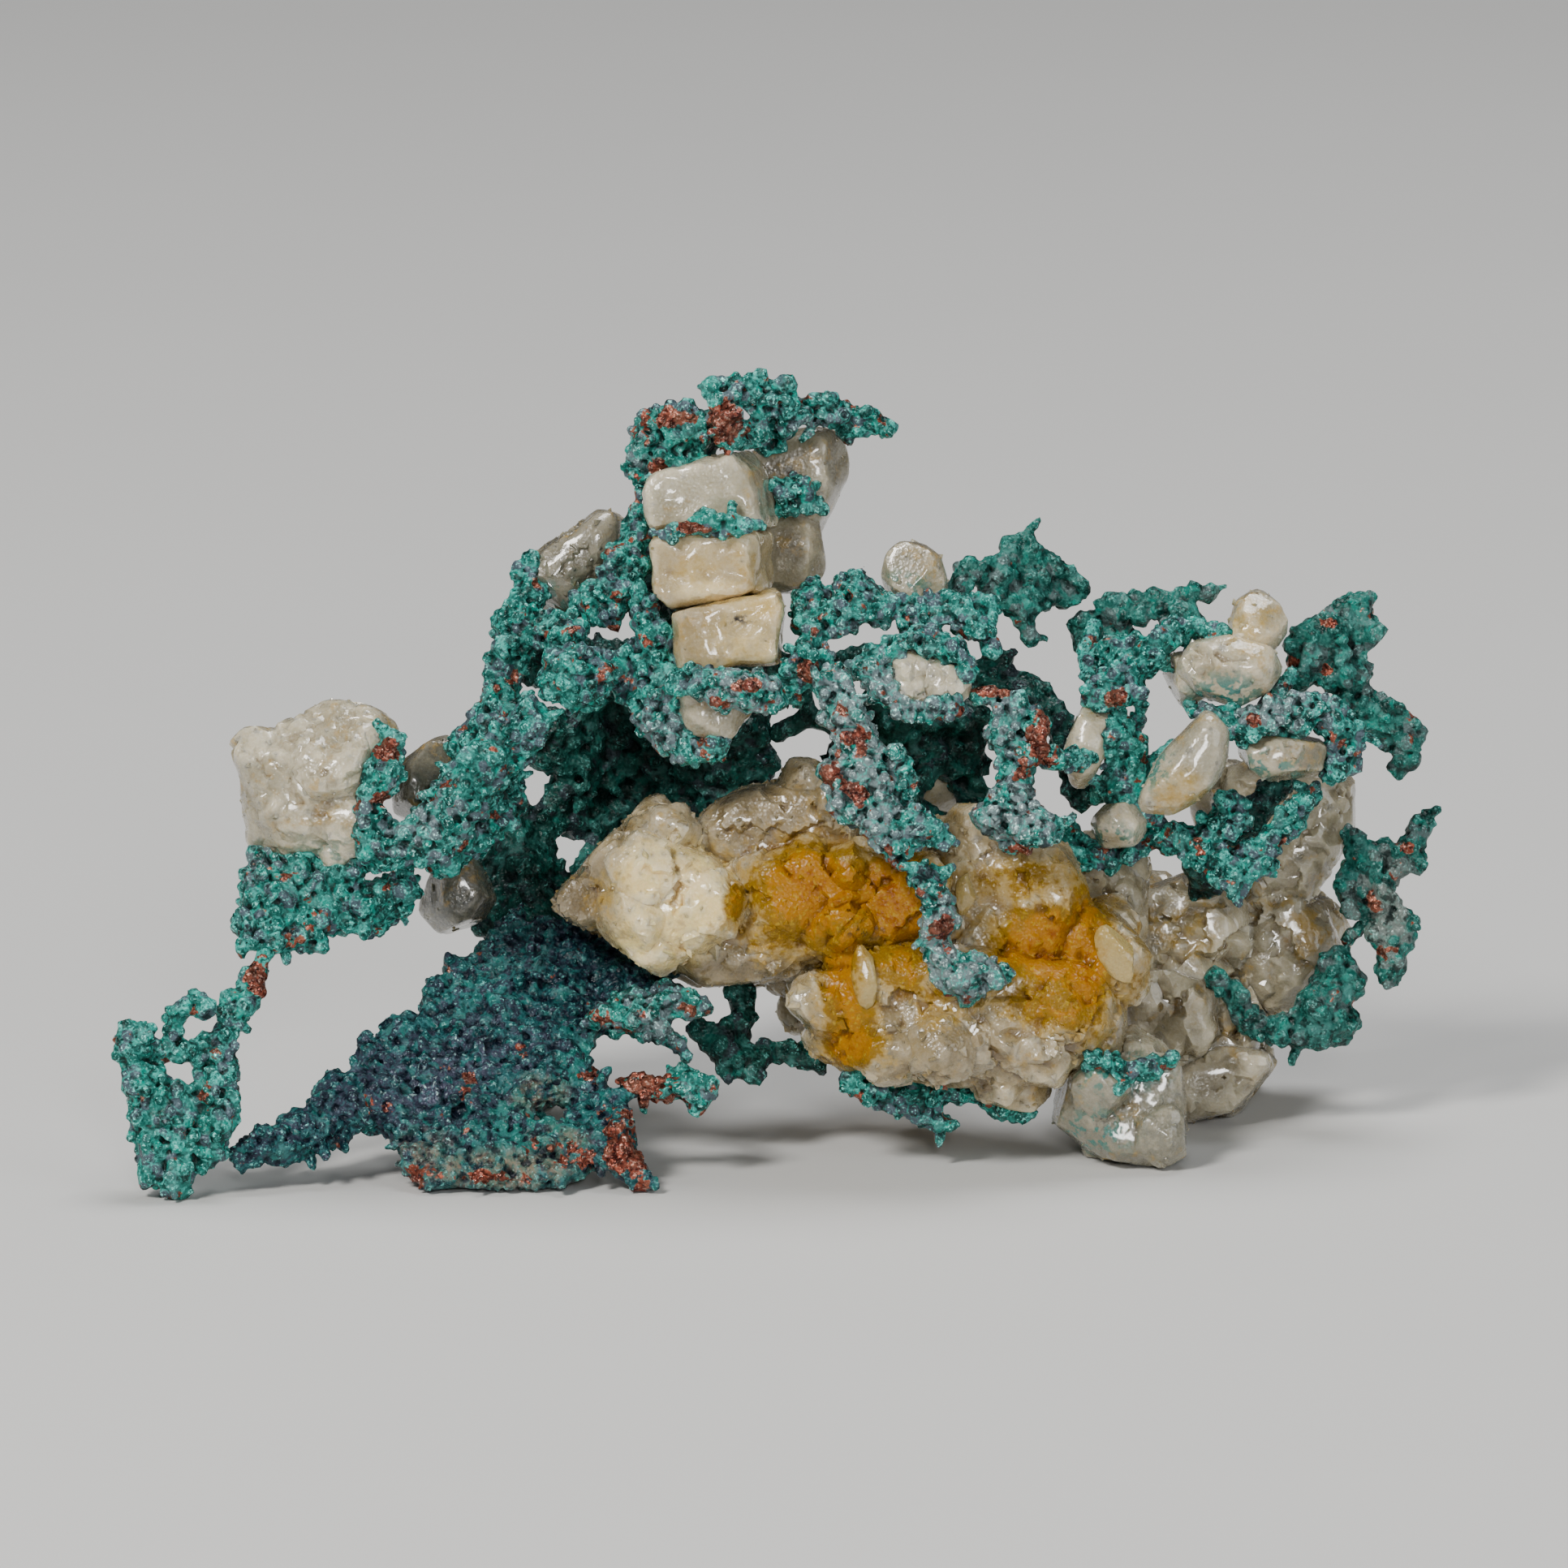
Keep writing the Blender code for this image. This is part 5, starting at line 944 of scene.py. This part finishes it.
# Patches on the quartz, by what they are: across, up, half width, half height, strength. In the
# patches of grain, larger crystals stand on the surface.
QUARTZ_PATCHES = {
    "quartz_matrix_front": dict(
        stain=[(1.3, 11.3, 2.5, 1.9, 1), (0.6, 9.8, 2.5, 1.1, 0.55), (4.1, 11, 1.6, 1.9, 1.15),
               (2.4, 8.2, 1.1, 2.4, 0.95), (2.5, 5.6, 1.1, 0.9, 0.95), (4.2, 8.8, 1.6, 1.5, 0.6),
               (9.6, 9.3, 2.1, 1.6, 1), (11.2, 8.9, 1.1, 2.6, 0.95), (10.2, 7.2, 2.2, 1.2, 0.6),
               (8.4, 11.7, 2.8, 0.9, 0.5), (-1.8, 10.9, 0.4, 0.9, 0.6), (-0.9, 10.6, 0.9, 1.8, 0.25),
               (12.9, 8.6, 1.5, 1.8, 0.25), (6.2, 7.6, 1.8, 1.4, 0.3), (-6.6, 11, 0.8, 1, 0.14)],
        cream=[(-4.1, 11.2, 2.5, 2.3, 0.9), (-4.4, 9.2, 2, 0.9, 0.8), (4, 5.2, 2.4, 0.9, 0.25)],
        yellow=[(-6.3, 11.4, 0.8, 1.2, 0.35), (-3, 12.6, 1.4, 0.6, 0.3)],
        shade=[(-8.1, 11.5, 1.8, 2.2, 1), (-1, 14.3, 3.6, 1.5, 0.6), (-2, 8.5, 1.9, 0.8, 0.8),
               (5.6, 5.9, 4.4, 1.9, 0.62), (10.6, 6, 2.4, 1, 0.4), (8.6, 13, 2.4, 1, 0.4),
               (-6.6, 13.6, 1.2, 0.9, 0.5), (3.4, 9.75, 1.6, 0.28, 0.9)],
        speck=[(3, 9.8, 0.9, 0.2, 1), (0.6, 15.4, 0.4, 0.2, 0.8)],
        grain=[(5.2, 5.6, 4.2, 1.7, 0.9), (10.2, 5.6, 3, 1.4, 0.8), (-4.2, 9.3, 2.6, 0.9, 0.8),
               (-4.4, 13.2, 1.8, 0.9, 0.7), (-2.2, 11.4, 0.9, 1.6, 0.6), (7.4, 8.4, 1.6, 1.4, 0.5),
               (1, 6.9, 1, 1.4, 0.8)],
    ),
    "quartz_matrix_back": dict(yellow=[(15.1, 9.8, 2, 1.8, 0.4)], stain=[(19.4, 9.9, 1.4, 1.6, 0.16)]),
    "tower_crystal_lower": dict(
        yellow=[(-0.6, 22, 1.3, 0.8, 0.95), (-2.2, 22, 0.9, 0.4, 0.6), (-1.6, 20.6, 2.6, 2.2, 0.25)],
        speck=[(-1.6, 21.3, 0.5, 0.2, 1.1)],
        cream=[(-1.2, 20.2, 1.4, 0.8, 0.4)],
        shade=[(-3.5, 20.7, 0.8, 1.6, 0.4)],
    ),
    "tower_crystal_middle": dict(
        yellow=[(-3.3, 23.1, 1.3, 0.6, 0.6), (-1.3, 23.3, 0.8, 0.6, 0.5)],
        cream=[(-2.6, 22.4, 1.6, 0.5, 0.5)],
        shade=[(-4.3, 23, 0.7, 1.6, 0.3)],
    ),
    "tower_crystal_foot": dict(shade=[(-2, 17.6, 1.8, 0.8, 0.4)]),
    "tower_crystal_top": dict(shade=[(-0.6, 26, 1.6, 1.6, 0.25)]),
    "thicket_crystal_blade": dict(
        yellow=[(14.7, 15, 1.1, 1.1, 0.7)],
        stain=[(14.6, 14.8, 0.6, 0.6, 0.16)],
        green=[(13.6, 16, 0.8, 1, 0.9)],
        shade=[(15.4, 16.6, 2.4, 3, 0.4)],
    ),
    "arch_crystal_hanging": dict(shade=[(-12.2, 11.4, 2.6, 3, 0.95)]),
    "arch_crystal_rear": dict(shade=[(-13, 15, 3, 4, 0.8)]),
    "crown_crystal_right": dict(shade=[(1, 26.6, 3, 4, 0.2)]),
    "thicket_crystal_top": dict(yellow=[(17.4, 21, 1.2, 1.4, 0.5)], green=[(16.4, 18.6, 1.6, 0.8, 1)]),
    "thicket_crystal_small": dict(green=[(12.2, 13.3, 1, 0.5, 0.9)]),
    "thicket_crystal_oval": dict(green=[(18, 16, 1.4, 0.6, 0.9)]),
    "quartz_foot_right": dict(
        green=[(12.4, 4.6, 1.8, 0.8, 1), (11.4, 2.4, 1.4, 0.9, 1)],
        shade=[(13.2, 2.6, 4.4, 3.2, 0.85)],
        speck=[(11.9, 2.9, 0.5, 0.4, 0.9), (10.4, 2.2, 0.4, 0.3, 0.8)],
    ),
    "left_crystal": dict(green=[(-16.6, 12.4, 1.6, 0.9, 0.6)], shade=[(-20, 13, 1.4, 3.4, 0.4)]),
    "perched_crystal": dict(green=[(4.4, 22.6, 1.2, 0.5, 0.9)], shade=[(4, 23.6, 1.8, 1.8, 0.4)]),
    "shoulder_crystal": dict(green=[(-8.4, 22, 1.4, 0.8, 0.7)], shade=[(-8, 23.4, 2.6, 3, 0.6)]),
}

# How rough each kind of quartz surface is: its beds of crystals by pitch, reach and lean, its waves
# by pitch and height, its small crystals by pitch and size
SUGARY = dict(beds=((1.4, 0.2, (0.4, 0.9)), (0.5, 0.08, (0.5, 1.1))), sugar=((0.5, (0.10, 0.20)),))
MASSED = dict(beds=((2.6, 0.14, (0.3, 0.8)), (0.85, 0.10, (0.3, 0.9))), waves=((1.0, 0.10), (0.3, 0.04)),
              sugar=((0.42, (0.07, 0.16)),), grains=((0.46, (0.15, 0.33)),))
LUMPY = dict(beds=((1.9, 0.28, (0.3, 0.8)), (0.7, 0.08, (0.3, 0.8))), waves=((0.4, 0.04),),
             sugar=((1.4, (0.12, 0.26)),))
FACETED = dict(beds=((1.3, 0.10, (0.4, 0.9)),), waves=((0.4, 0.02),), sugar=((0.6, (0.08, 0.18)),),
               swell=0.2, cuts=16)
BLOCKY = dict(beds=((1.8, 0.12, (0.4, 0.9)),), waves=((0.5, 0.03),), sugar=((0.8, (0.08, 0.18)),),
              swell=0.25, cuts=18)
CLEAR = dict(beds=((1.9, 0.16, (0.3, 0.7)),), waves=((0.7, 0.06), (0.25, 0.03)),
             sugar=((0.6, (0.08, 0.16)),), cuts=12)
CHIPPED = dict(beds=((1.9, 0.14, (0.3, 0.7)), (0.5, 0.05, (0.3, 0.9))), waves=((1.0, 0.06),),
               sugar=((0.5, (0.08, 0.17)),), swell=0.1, cuts=8)
WAXY = dict(waves=((1.4, 0.16), (0.7, 0.12), (0.25, 0.035)), sugar=((1.1, (0.06, 0.12)),), swell=0.16)
QUARTZ_SURFACES = {name: surface for surface, names in (
    (MASSED, "quartz_matrix_front"),
    (LUMPY, "quartz_matrix_back"),
    (CLEAR, "quartz_foot_right"),
    (CHIPPED, "left_crystal shoulder_crystal"),
    (WAXY, "tower_crystal_top tower_crystal_middle tower_crystal_lower tower_crystal_foot"),
    (BLOCKY, "crown_crystal_right arch_crystal_hanging arch_crystal_rear"),
    (BLOCKY, "rear_crystal_left rear_crystal_right"),
    (FACETED, "perched_crystal thicket_crystal_oval thicket_crystal_slender thicket_crystal_blade"),
    (FACETED, "thicket_crystal_small thicket_crystal_top"),
) for name in names.split()}

# Patches on the copper, as on the quartz
COPPER_PATCHES = {
    "copper_leaf": dict(
        bare=[(-6, 2.2, 0.9, 1.5, 0.8), (-13.2, 1, 1.2, 0.5, 0.75), (-7.6, 1.6, 0.9, 0.6, 0.8),
              (-11, 0.8, 1.6, 0.35, 0.8), (-11.7, 4.2, 0.5, 0.6, 0.6), (-15, 3.5, 0.9, 0.5, 0.55),
              (-8.6, 1.9, 1.2, 0.3, 0.7), (-5.3, 1, 0.5, 0.9, 0.8), (-7.4, 4.4, 0.6, 0.4, 0.7),
              (-12, 2.6, 0.8, 0.4, 0.5), (-9.6, 5.4, 0.35, 0.3, 0.6)],
        tone=[(-9.4, 2.8, 2.4, 1.3, 1), (-7.2, 4.9, 1.5, 0.9, 0.9), (-11.4, 7.6, 2, 1.2, 0.4)],
        lilac=[(-13.6, 4.2, 3.2, 1.3, 0.7), (-11, 5.6, 2.2, 1, 0.5)],
        dim=[(-6.2, 9.8, 3.4, 2.2, 0.9), (-7.6, 6.9, 1.6, 0.7, 0.5), (-11.6, 3.4, 1, 0.7, 0.4)],
        sand=[(-10.4, 1.1, 3, 0.7, 0.9), (-8.2, 2.2, 1, 0.5, 0.7), (-9, 3.9, 1, 0.6, 0.9),
              (-13.2, 1.6, 1.2, 0.9, 0.6)],
    ),
    "copper_leaf_upper_prong": dict(
        lilac=[(-4.6, 6.6, 1.8, 0.9, 0.7)],
        bare=[(-3.4, 6.9, 0.5, 0.3, 0.8), (-7.3, 5.8, 0.5, 0.25, 0.8)],
        dim=[(-5, 5.9, 1.2, 0.4, 0.6)],
    ),
    "copper_leaf_lower_prong": dict(bare=[(-5.4, 4.1, 1.5, 0.8, 0.8)], lilac=[(-3.6, 4.2, 0.8, 0.8, 0.5)]),
    "copper_left_arm": dict(
        bare=[(-14.6, 16.6, 0.45, 0.45, 0.9), (-14.7, 14.7, 0.35, 0.35, 0.8)],
        lilac=[(-13.4, 14, 2, 1.5, 0.5)],
        dim=[(-10.6, 15.4, 1.4, 0.8, 0.4)],
    ),
    "copper_left_cradle": dict(tone=[(-17.6, 11.4, 2.4, 1, 0.5)], lilac=[(-19.4, 12.8, 1, 1.4, 0.4)]),
    "copper_left_foot": dict(bare=[(-19.3, 8.2, 0.6, 0.7, 0.7)], tone=[(-22, 3.4, 1.4, 2, 0.4)]),
    "copper_shoulder_outer": dict(dim=[(-9.4, 20, 1, 1.4, 0.4)]),
    "copper_shoulder_inner": dict(dim=[(-7, 19.2, 1, 1.2, 0.4)]),
    "copper_tower_seam": dict(tone=[(-1.9, 24.9, 1.3, 0.5, 0.9)], bare=[(-3.4, 24.75, 0.4, 0.25, 0.9)]),
    "copper_crown_top": dict(
        bare=[(-2.2, 28.6, 0.6, 0.9, 0.9), (-2.25, 27.5, 0.3, 0.25, 1)],
        lilac=[(-2, 28.6, 1.6, 1.1, 0.5), (1, 28, 1, 1, 0.4)],
    ),
    "copper_crown_left": dict(
        bare=[(-4.1, 28.7, 1, 0.35, 0.9), (-4.6, 26.9, 0.4, 0.3, 0.9)],
        tone=[(-4.4, 27.8, 0.8, 0.7, 0.6)],
        lilac=[(-5.4, 27.6, 0.7, 1.2, 0.5)],
    ),
    "copper_tower_band": dict(
        bare=[(-1.4, 18.9, 0.6, 0.3, 0.9), (-2.3, 18.3, 0.4, 0.3, 0.8)],
        lilac=[(-1.6, 18.4, 1.8, 1.2, 0.8)],
    ),
    "copper_tower_side": dict(lilac=[(-4.6, 17, 1.4, 1.6, 0.5)]),
    "copper_canopy_ridge": dict(
        bare=[(0.9, 19.4, 0.5, 0.4, 0.8)],
        lilac=[(4, 20.4, 2.6, 0.9, 0.5)],
        tone=[(6.6, 21.4, 1.2, 0.8, 0.4)],
    ),
    "copper_loop": dict(lilac=[(3.6, 18.4, 2.4, 1.6, 0.8)], tone=[(4.8, 19.6, 1, 0.4, 0.5)]),
    "copper_front_branch": dict(
        bare=[(2.7, 16.9, 0.6, 0.6, 0.8), (1.7, 15.6, 0.35, 0.35, 0.8), (2.7, 15, 0.45, 0.3, 0.8),
              (3.9, 12.6, 0.3, 0.4, 0.6)],
        lilac=[(2.6, 16.4, 2.6, 4.6, 0.9)],
        tone=[(3.9, 14, 0.9, 1, 0.4)],
    ),
    "copper_front_branch_tip": dict(
        bare=[(5.8, 10.1, 0.5, 0.4, 0.9)],
        lilac=[(6, 8.8, 2.4, 2.6, 0.9)],
        dim=[(6.3, 7.4, 0.9, 0.5, 0.5)],
    ),
    "copper_second_branch": dict(
        bare=[(9.4, 17, 0.45, 1.1, 0.85), (7.6, 18.7, 0.9, 0.3, 0.8), (8.8, 15.7, 0.45, 0.3, 0.9),
              (8.6, 12.8, 0.8, 0.25, 0.7)],
        lilac=[(8.4, 14, 2, 1.6, 0.9), (8, 17.4, 1, 1.4, 0.6)],
    ),
    "copper_thicket_upper": dict(bare=[(12.3, 18.5, 0.5, 0.3, 1), (10.8, 21.4, 0.4, 0.4, 0.7)]),
    "copper_right_branch": dict(
        bare=[(18.9, 19.8, 0.35, 0.3, 0.8), (20.2, 21.2, 0.5, 0.25, 0.8), (20.2, 19.5, 0.3, 0.25, 0.8),
              (23.2, 17.9, 0.45, 0.25, 0.8), (22.5, 16.9, 0.25, 0.25, 0.8), (22.1, 21.8, 0.25, 0.3, 0.8)],
    ),
    "copper_right_lower": dict(
        bare=[(23.2, 13, 0.5, 0.3, 0.8), (22, 11, 0.3, 0.4, 0.7), (22.6, 9, 0.5, 0.4, 0.8)],
        lilac=[(22.4, 10.6, 1.2, 2.4, 0.6)],
    ),
    "copper_thicket_middle": dict(lilac=[(18, 18, 2.4, 1, 0.7)], bare=[(17.4, 17.6, 0.3, 0.3, 0.8)]),
    "copper_thicket_left": dict(tone=[(12.8, 17, 0.8, 1, 0.8)]),
}

# Single crystals standing out of the quartz: across, up, half length, half width, turn in degrees
QUARTZ_STUDS = {
    "quartz_matrix_front": [
        (3.03, 8.15, 1.25, 0.52, 96), (6.75, 11.3, 0.95, 0.45, 85), (12.3, 9.0, 1.2, 0.7, 120),
    ],
}

# Lines that cut the quartz off: across and up of both ends, with the body on the right
QUARTZ_TRIMS = {
    "quartz_matrix_front": [(-8.5, 10.7, -4.9, 14.6), (-5.0, 8.75, -8.5, 10.9)],
}

# Thin copper too fine for the solids: across, up, deep and radius at each stop
THIN_STRANDS = {
    "copper_back_foot": [[(-8.7, 7.8, 13.1, 0.55), (-8.8, 8.7, 12.9, 0.48), (-8.9, 9.6, 12.8, 0.5)]],
    "copper_left_foot": [[(-19.4, 8, 2.2, 0.34), (-19.15, 8.8, 2.3, 0.3), (-18.85, 9.6, 2.6, 0.34)]],
    "copper_leaf": [
        [(-6.9, 3.6, 3, 0.34), (-6.3, 3.8, 2.8, 0.3), (-5.5, 3.95, 2.8, 0.32)],
        [(-6, 3.8, 2.8, 0.3), (-5.95, 2.9, 2.3, 0.32), (-5.9, 2.2, 1.9, 0.32)],
    ],
    "copper_leaf_upper_prong": [[(-4.7, 6.8, 4.5, 0.26), (-4.75, 7.1, 5, 0.28), (-4.8, 7.4, 5.5, 0.28)]],
    "copper_crown_top": [
        [(-2.3, 28, 3.8, 0.32), (-1.6, 27.9, 4.6, 0.34), (-0.8, 28, 5.9, 0.34)],
        [(-2, 28.4, 3.9, 0.3), (-1.2, 28.5, 4.5, 0.3)],
    ],
    "copper_thicket_middle": [
        [(15.2, 18, 7.2, 0.32), (15, 18.9, 7.6, 0.34), (14.9, 19.8, 8, 0.32), (15.3, 20.6, 8.2, 0.28)],
        [(17.9, 17.4, 6.9, 0.3), (18.4, 18.6, 7.3, 0.32), (18.9, 19.4, 7.8, 0.3)],
    ],
    "copper_thicket_upper": [
        [(11.6, 21.2, 8.6, 0.3), (11.2, 20.3, 8, 0.32), (11.3, 19.2, 7.2, 0.3), (11.6, 18.4, 6.6, 0.28)],
        [(12.2, 18.5, 6.4, 0.28), (12.5, 17.6, 6.5, 0.3), (12.7, 16.9, 6.6, 0.3)],
    ],
    "copper_thicket_left": [
        [(13.1, 16.2, 6.6, 0.3), (13.3, 15.3, 6.8, 0.26), (13.7, 14.4, 7, 0.28), (14.1, 13.6, 7.2, 0.3)],
        [(11.6, 14.8, 8.2, 0.36), (12.2, 15.6, 7.5, 0.38), (12.6, 16.4, 7, 0.36)],
        [(13.2, 15.4, 6.9, 0.32), (13.9, 16.2, 7.1, 0.36), (14.6, 16.7, 7.4, 0.32)],
    ],
    "copper_thicket_lower": [
        [(10.3, 13.5, 7.9, 0.3), (11.5, 13, 7.8, 0.26), (12.8, 12.9, 7.5, 0.28), (13.8, 13.2, 7.3, 0.3)],
    ],
    "copper_right_branch": [
        [(19.1, 18.9, 8.6, 0.34), (19.6, 19.3, 8.6, 0.34), (20.2, 19.1, 8.8, 0.3)],
        [(20.3, 17.7, 7.2, 0.3), (20.8, 18.2, 8.2, 0.3), (21, 18.6, 8.8, 0.3)],
    ],
    "copper_right_lower": [
        [(20.7, 13.4, 13, 0.34), (21.4, 13.1, 11.9, 0.32), (22.2, 12.7, 11.1, 0.3)],
        [(21.6, 9.9, 10.9, 0.28), (21.1, 9.5, 10.8, 0.3)],
    ],
    "copper_back_wall_right": [
        [(-0.2, 17.2, 11.8, 0.4), (1, 17.8, 11.5, 0.38), (2.4, 17.3, 11.3, 0.4)],
        [(1, 17.8, 11.5, 0.36), (0.8, 19, 11.4, 0.3), (1.2, 20.2, 11.5, 0.34)],
    ],
    "copper_tower_seam": [[(-1.2, 24.75, 2.5, 0.26), (-0.7, 24.8, 2.6, 0.2)]],
    "copper_spiky_sheet": [[(8.9, 24.2, 8.1, 0.26), (9.2, 24.7, 8.2, 0.18), (9.5, 25.1, 8.2, 0.12)]],
    "copper_spiky_bridge": [[(15.2, 22.35, 8.4, 0.24), (15.9, 22.5, 8.4, 0.17), (16.4, 22.6, 8.4, 0.12)]],
}


def dressed(node, mesh, material):
    """The piece that shows instead of a CAD node."""
    piece = added(node.name + "_look", mesh)
    mesh.materials.clear()
    mesh.materials.append(material)
    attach(piece, "root")
    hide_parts(node.name)


def dress_all(frame, box):
    """Dresses every node by its material slot."""
    finishes = {name: copper_material(name, **values) for name, values in COPPER_FINISHES.items()}
    finishes.update({name: quartz_material(name, **values) for name, values in QUARTZ_FINISHES.items()})
    for part in frame["record"]["subparts"]:
        name = part["node"]
        node = frame["nodes"][name]
        slot_name = part["material_slot"]
        if slot_name.startswith("copper"):
            others = tree_of_others(frame["nodes"], name)
            mesh = crust(node, box, others, strands=THIN_STRANDS.get(name, ()),
                         patches=COPPER_PATCHES.get(name, {}), **CRUSTS[slot_name])
        else:
            mesh = druse(node, box, patches=QUARTZ_PATCHES.get(name, {}), studs=QUARTZ_STUDS.get(name, ()),
                         trims=QUARTZ_TRIMS.get(name, ()), **QUARTZ_SURFACES.get(name, SUGARY))
        dressed(node, mesh, finishes[slot_name])


# Stage

FLOOR_HALF = 3.0
FLOOR_TONES = ((0.66, 0.66, 0.65), (0.69, 0.69, 0.68))
STUDIO_COLOUR = (0.80, 0.82, 0.85, 1.0)
STUDIO_STRENGTH = 0.10

# Lights: place and size in metres, power and colour, aimed at the specimen's middle
LIGHT_AIM = (0.0, 0.0, 0.014)
LIGHTS = {
    "key": ((-0.22, -0.30, 0.34), 0.11, 2.2, (1.0, 0.97, 0.93)),
    "front": ((0.04, -0.46, 0.16), 0.06, 0.55, (1.0, 0.99, 0.97)),
    "fill": ((0.32, -0.28, 0.16), 0.20, 0.4, (0.93, 0.97, 1.0)),
    "top": ((0.05, 0.12, 0.40), 0.18, 1.1, (1.0, 1.0, 1.0)),
}

# Camera: what the photograph frames, and from how far
FRAME_MIDDLE = (0.03, 15.27, 5.0)
FRAME_WIDTH = 57.96
CAMERA_AWAY = 600.0
SENSOR = 36.0
CLIP_START = 0.05
CLIP_END = 20.0


def floor():
    """A plain pale floor."""
    spots = [(-FLOOR_HALF, -FLOOR_HALF, 0), (FLOOR_HALF, -FLOOR_HALF, 0),
             (FLOOR_HALF, FLOOR_HALF, 0), (-FLOOR_HALF, FLOOR_HALF, 0)]
    mesh = bpy.data.meshes.new("floor")
    mesh.from_pydata(spots, [], [(0, 1, 2, 3)])
    obj = added("floor", mesh)
    m = Material("floor_paint")
    obj.data.materials.append(m.finish(m.mix(m.noise(40.0), *FLOOR_TONES), 0.7, m.bump(m.noise(1.0), 0.01)))


def area_light(name, where, size, power, colour):
    """A soft square light."""
    light = bpy.data.lights.new(name, "AREA")
    light.shape = "SQUARE"
    light.size = size
    light.energy = power
    light.color = colour
    obj = added(name, light)
    obj.location = where
    obj.rotation_euler = (Vector(LIGHT_AIM) - Vector(where)).to_track_quat("-Z", "Y").to_euler()


def lights():
    """Soft studio light from above and from both sides of the viewer."""
    for name, settings in LIGHTS.items():
        area_light(name, *settings)
    world = bpy.data.worlds.new("studio")
    world.use_nodes = True
    background = world.node_tree.nodes["Background"]
    background.inputs["Color"].default_value = STUDIO_COLOUR
    background.inputs["Strength"].default_value = STUDIO_STRENGTH
    bpy.context.scene.world = world


def camera():
    """The photograph's view: from in front, a little above, from far enough to look flat."""
    across, up, deep = FRAME_MIDDLE
    data = bpy.data.cameras.new("camera")
    data.sensor_width = SENSOR
    data.lens = SENSOR * CAMERA_AWAY / FRAME_WIDTH
    data.clip_start = CLIP_START
    data.clip_end = CLIP_END
    obj = added("camera", data)
    obj.location = place(across, up, deep - CAMERA_AWAY)
    obj.rotation_euler = (math.radians(90) - VIEW_TILT, 0.0, 0.0)
    bpy.context.scene.camera = obj


def corners(box):
    """A box as plain lists of numbers."""
    return [list(map(float, corner)) for corner in box]


def main():
    """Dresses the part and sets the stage."""
    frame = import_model()
    before = corners(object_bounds())
    dress_all(frame, np.array(before) + np.array(BOX_SLACK) * MM)
    floor()
    lights()
    camera()


main()
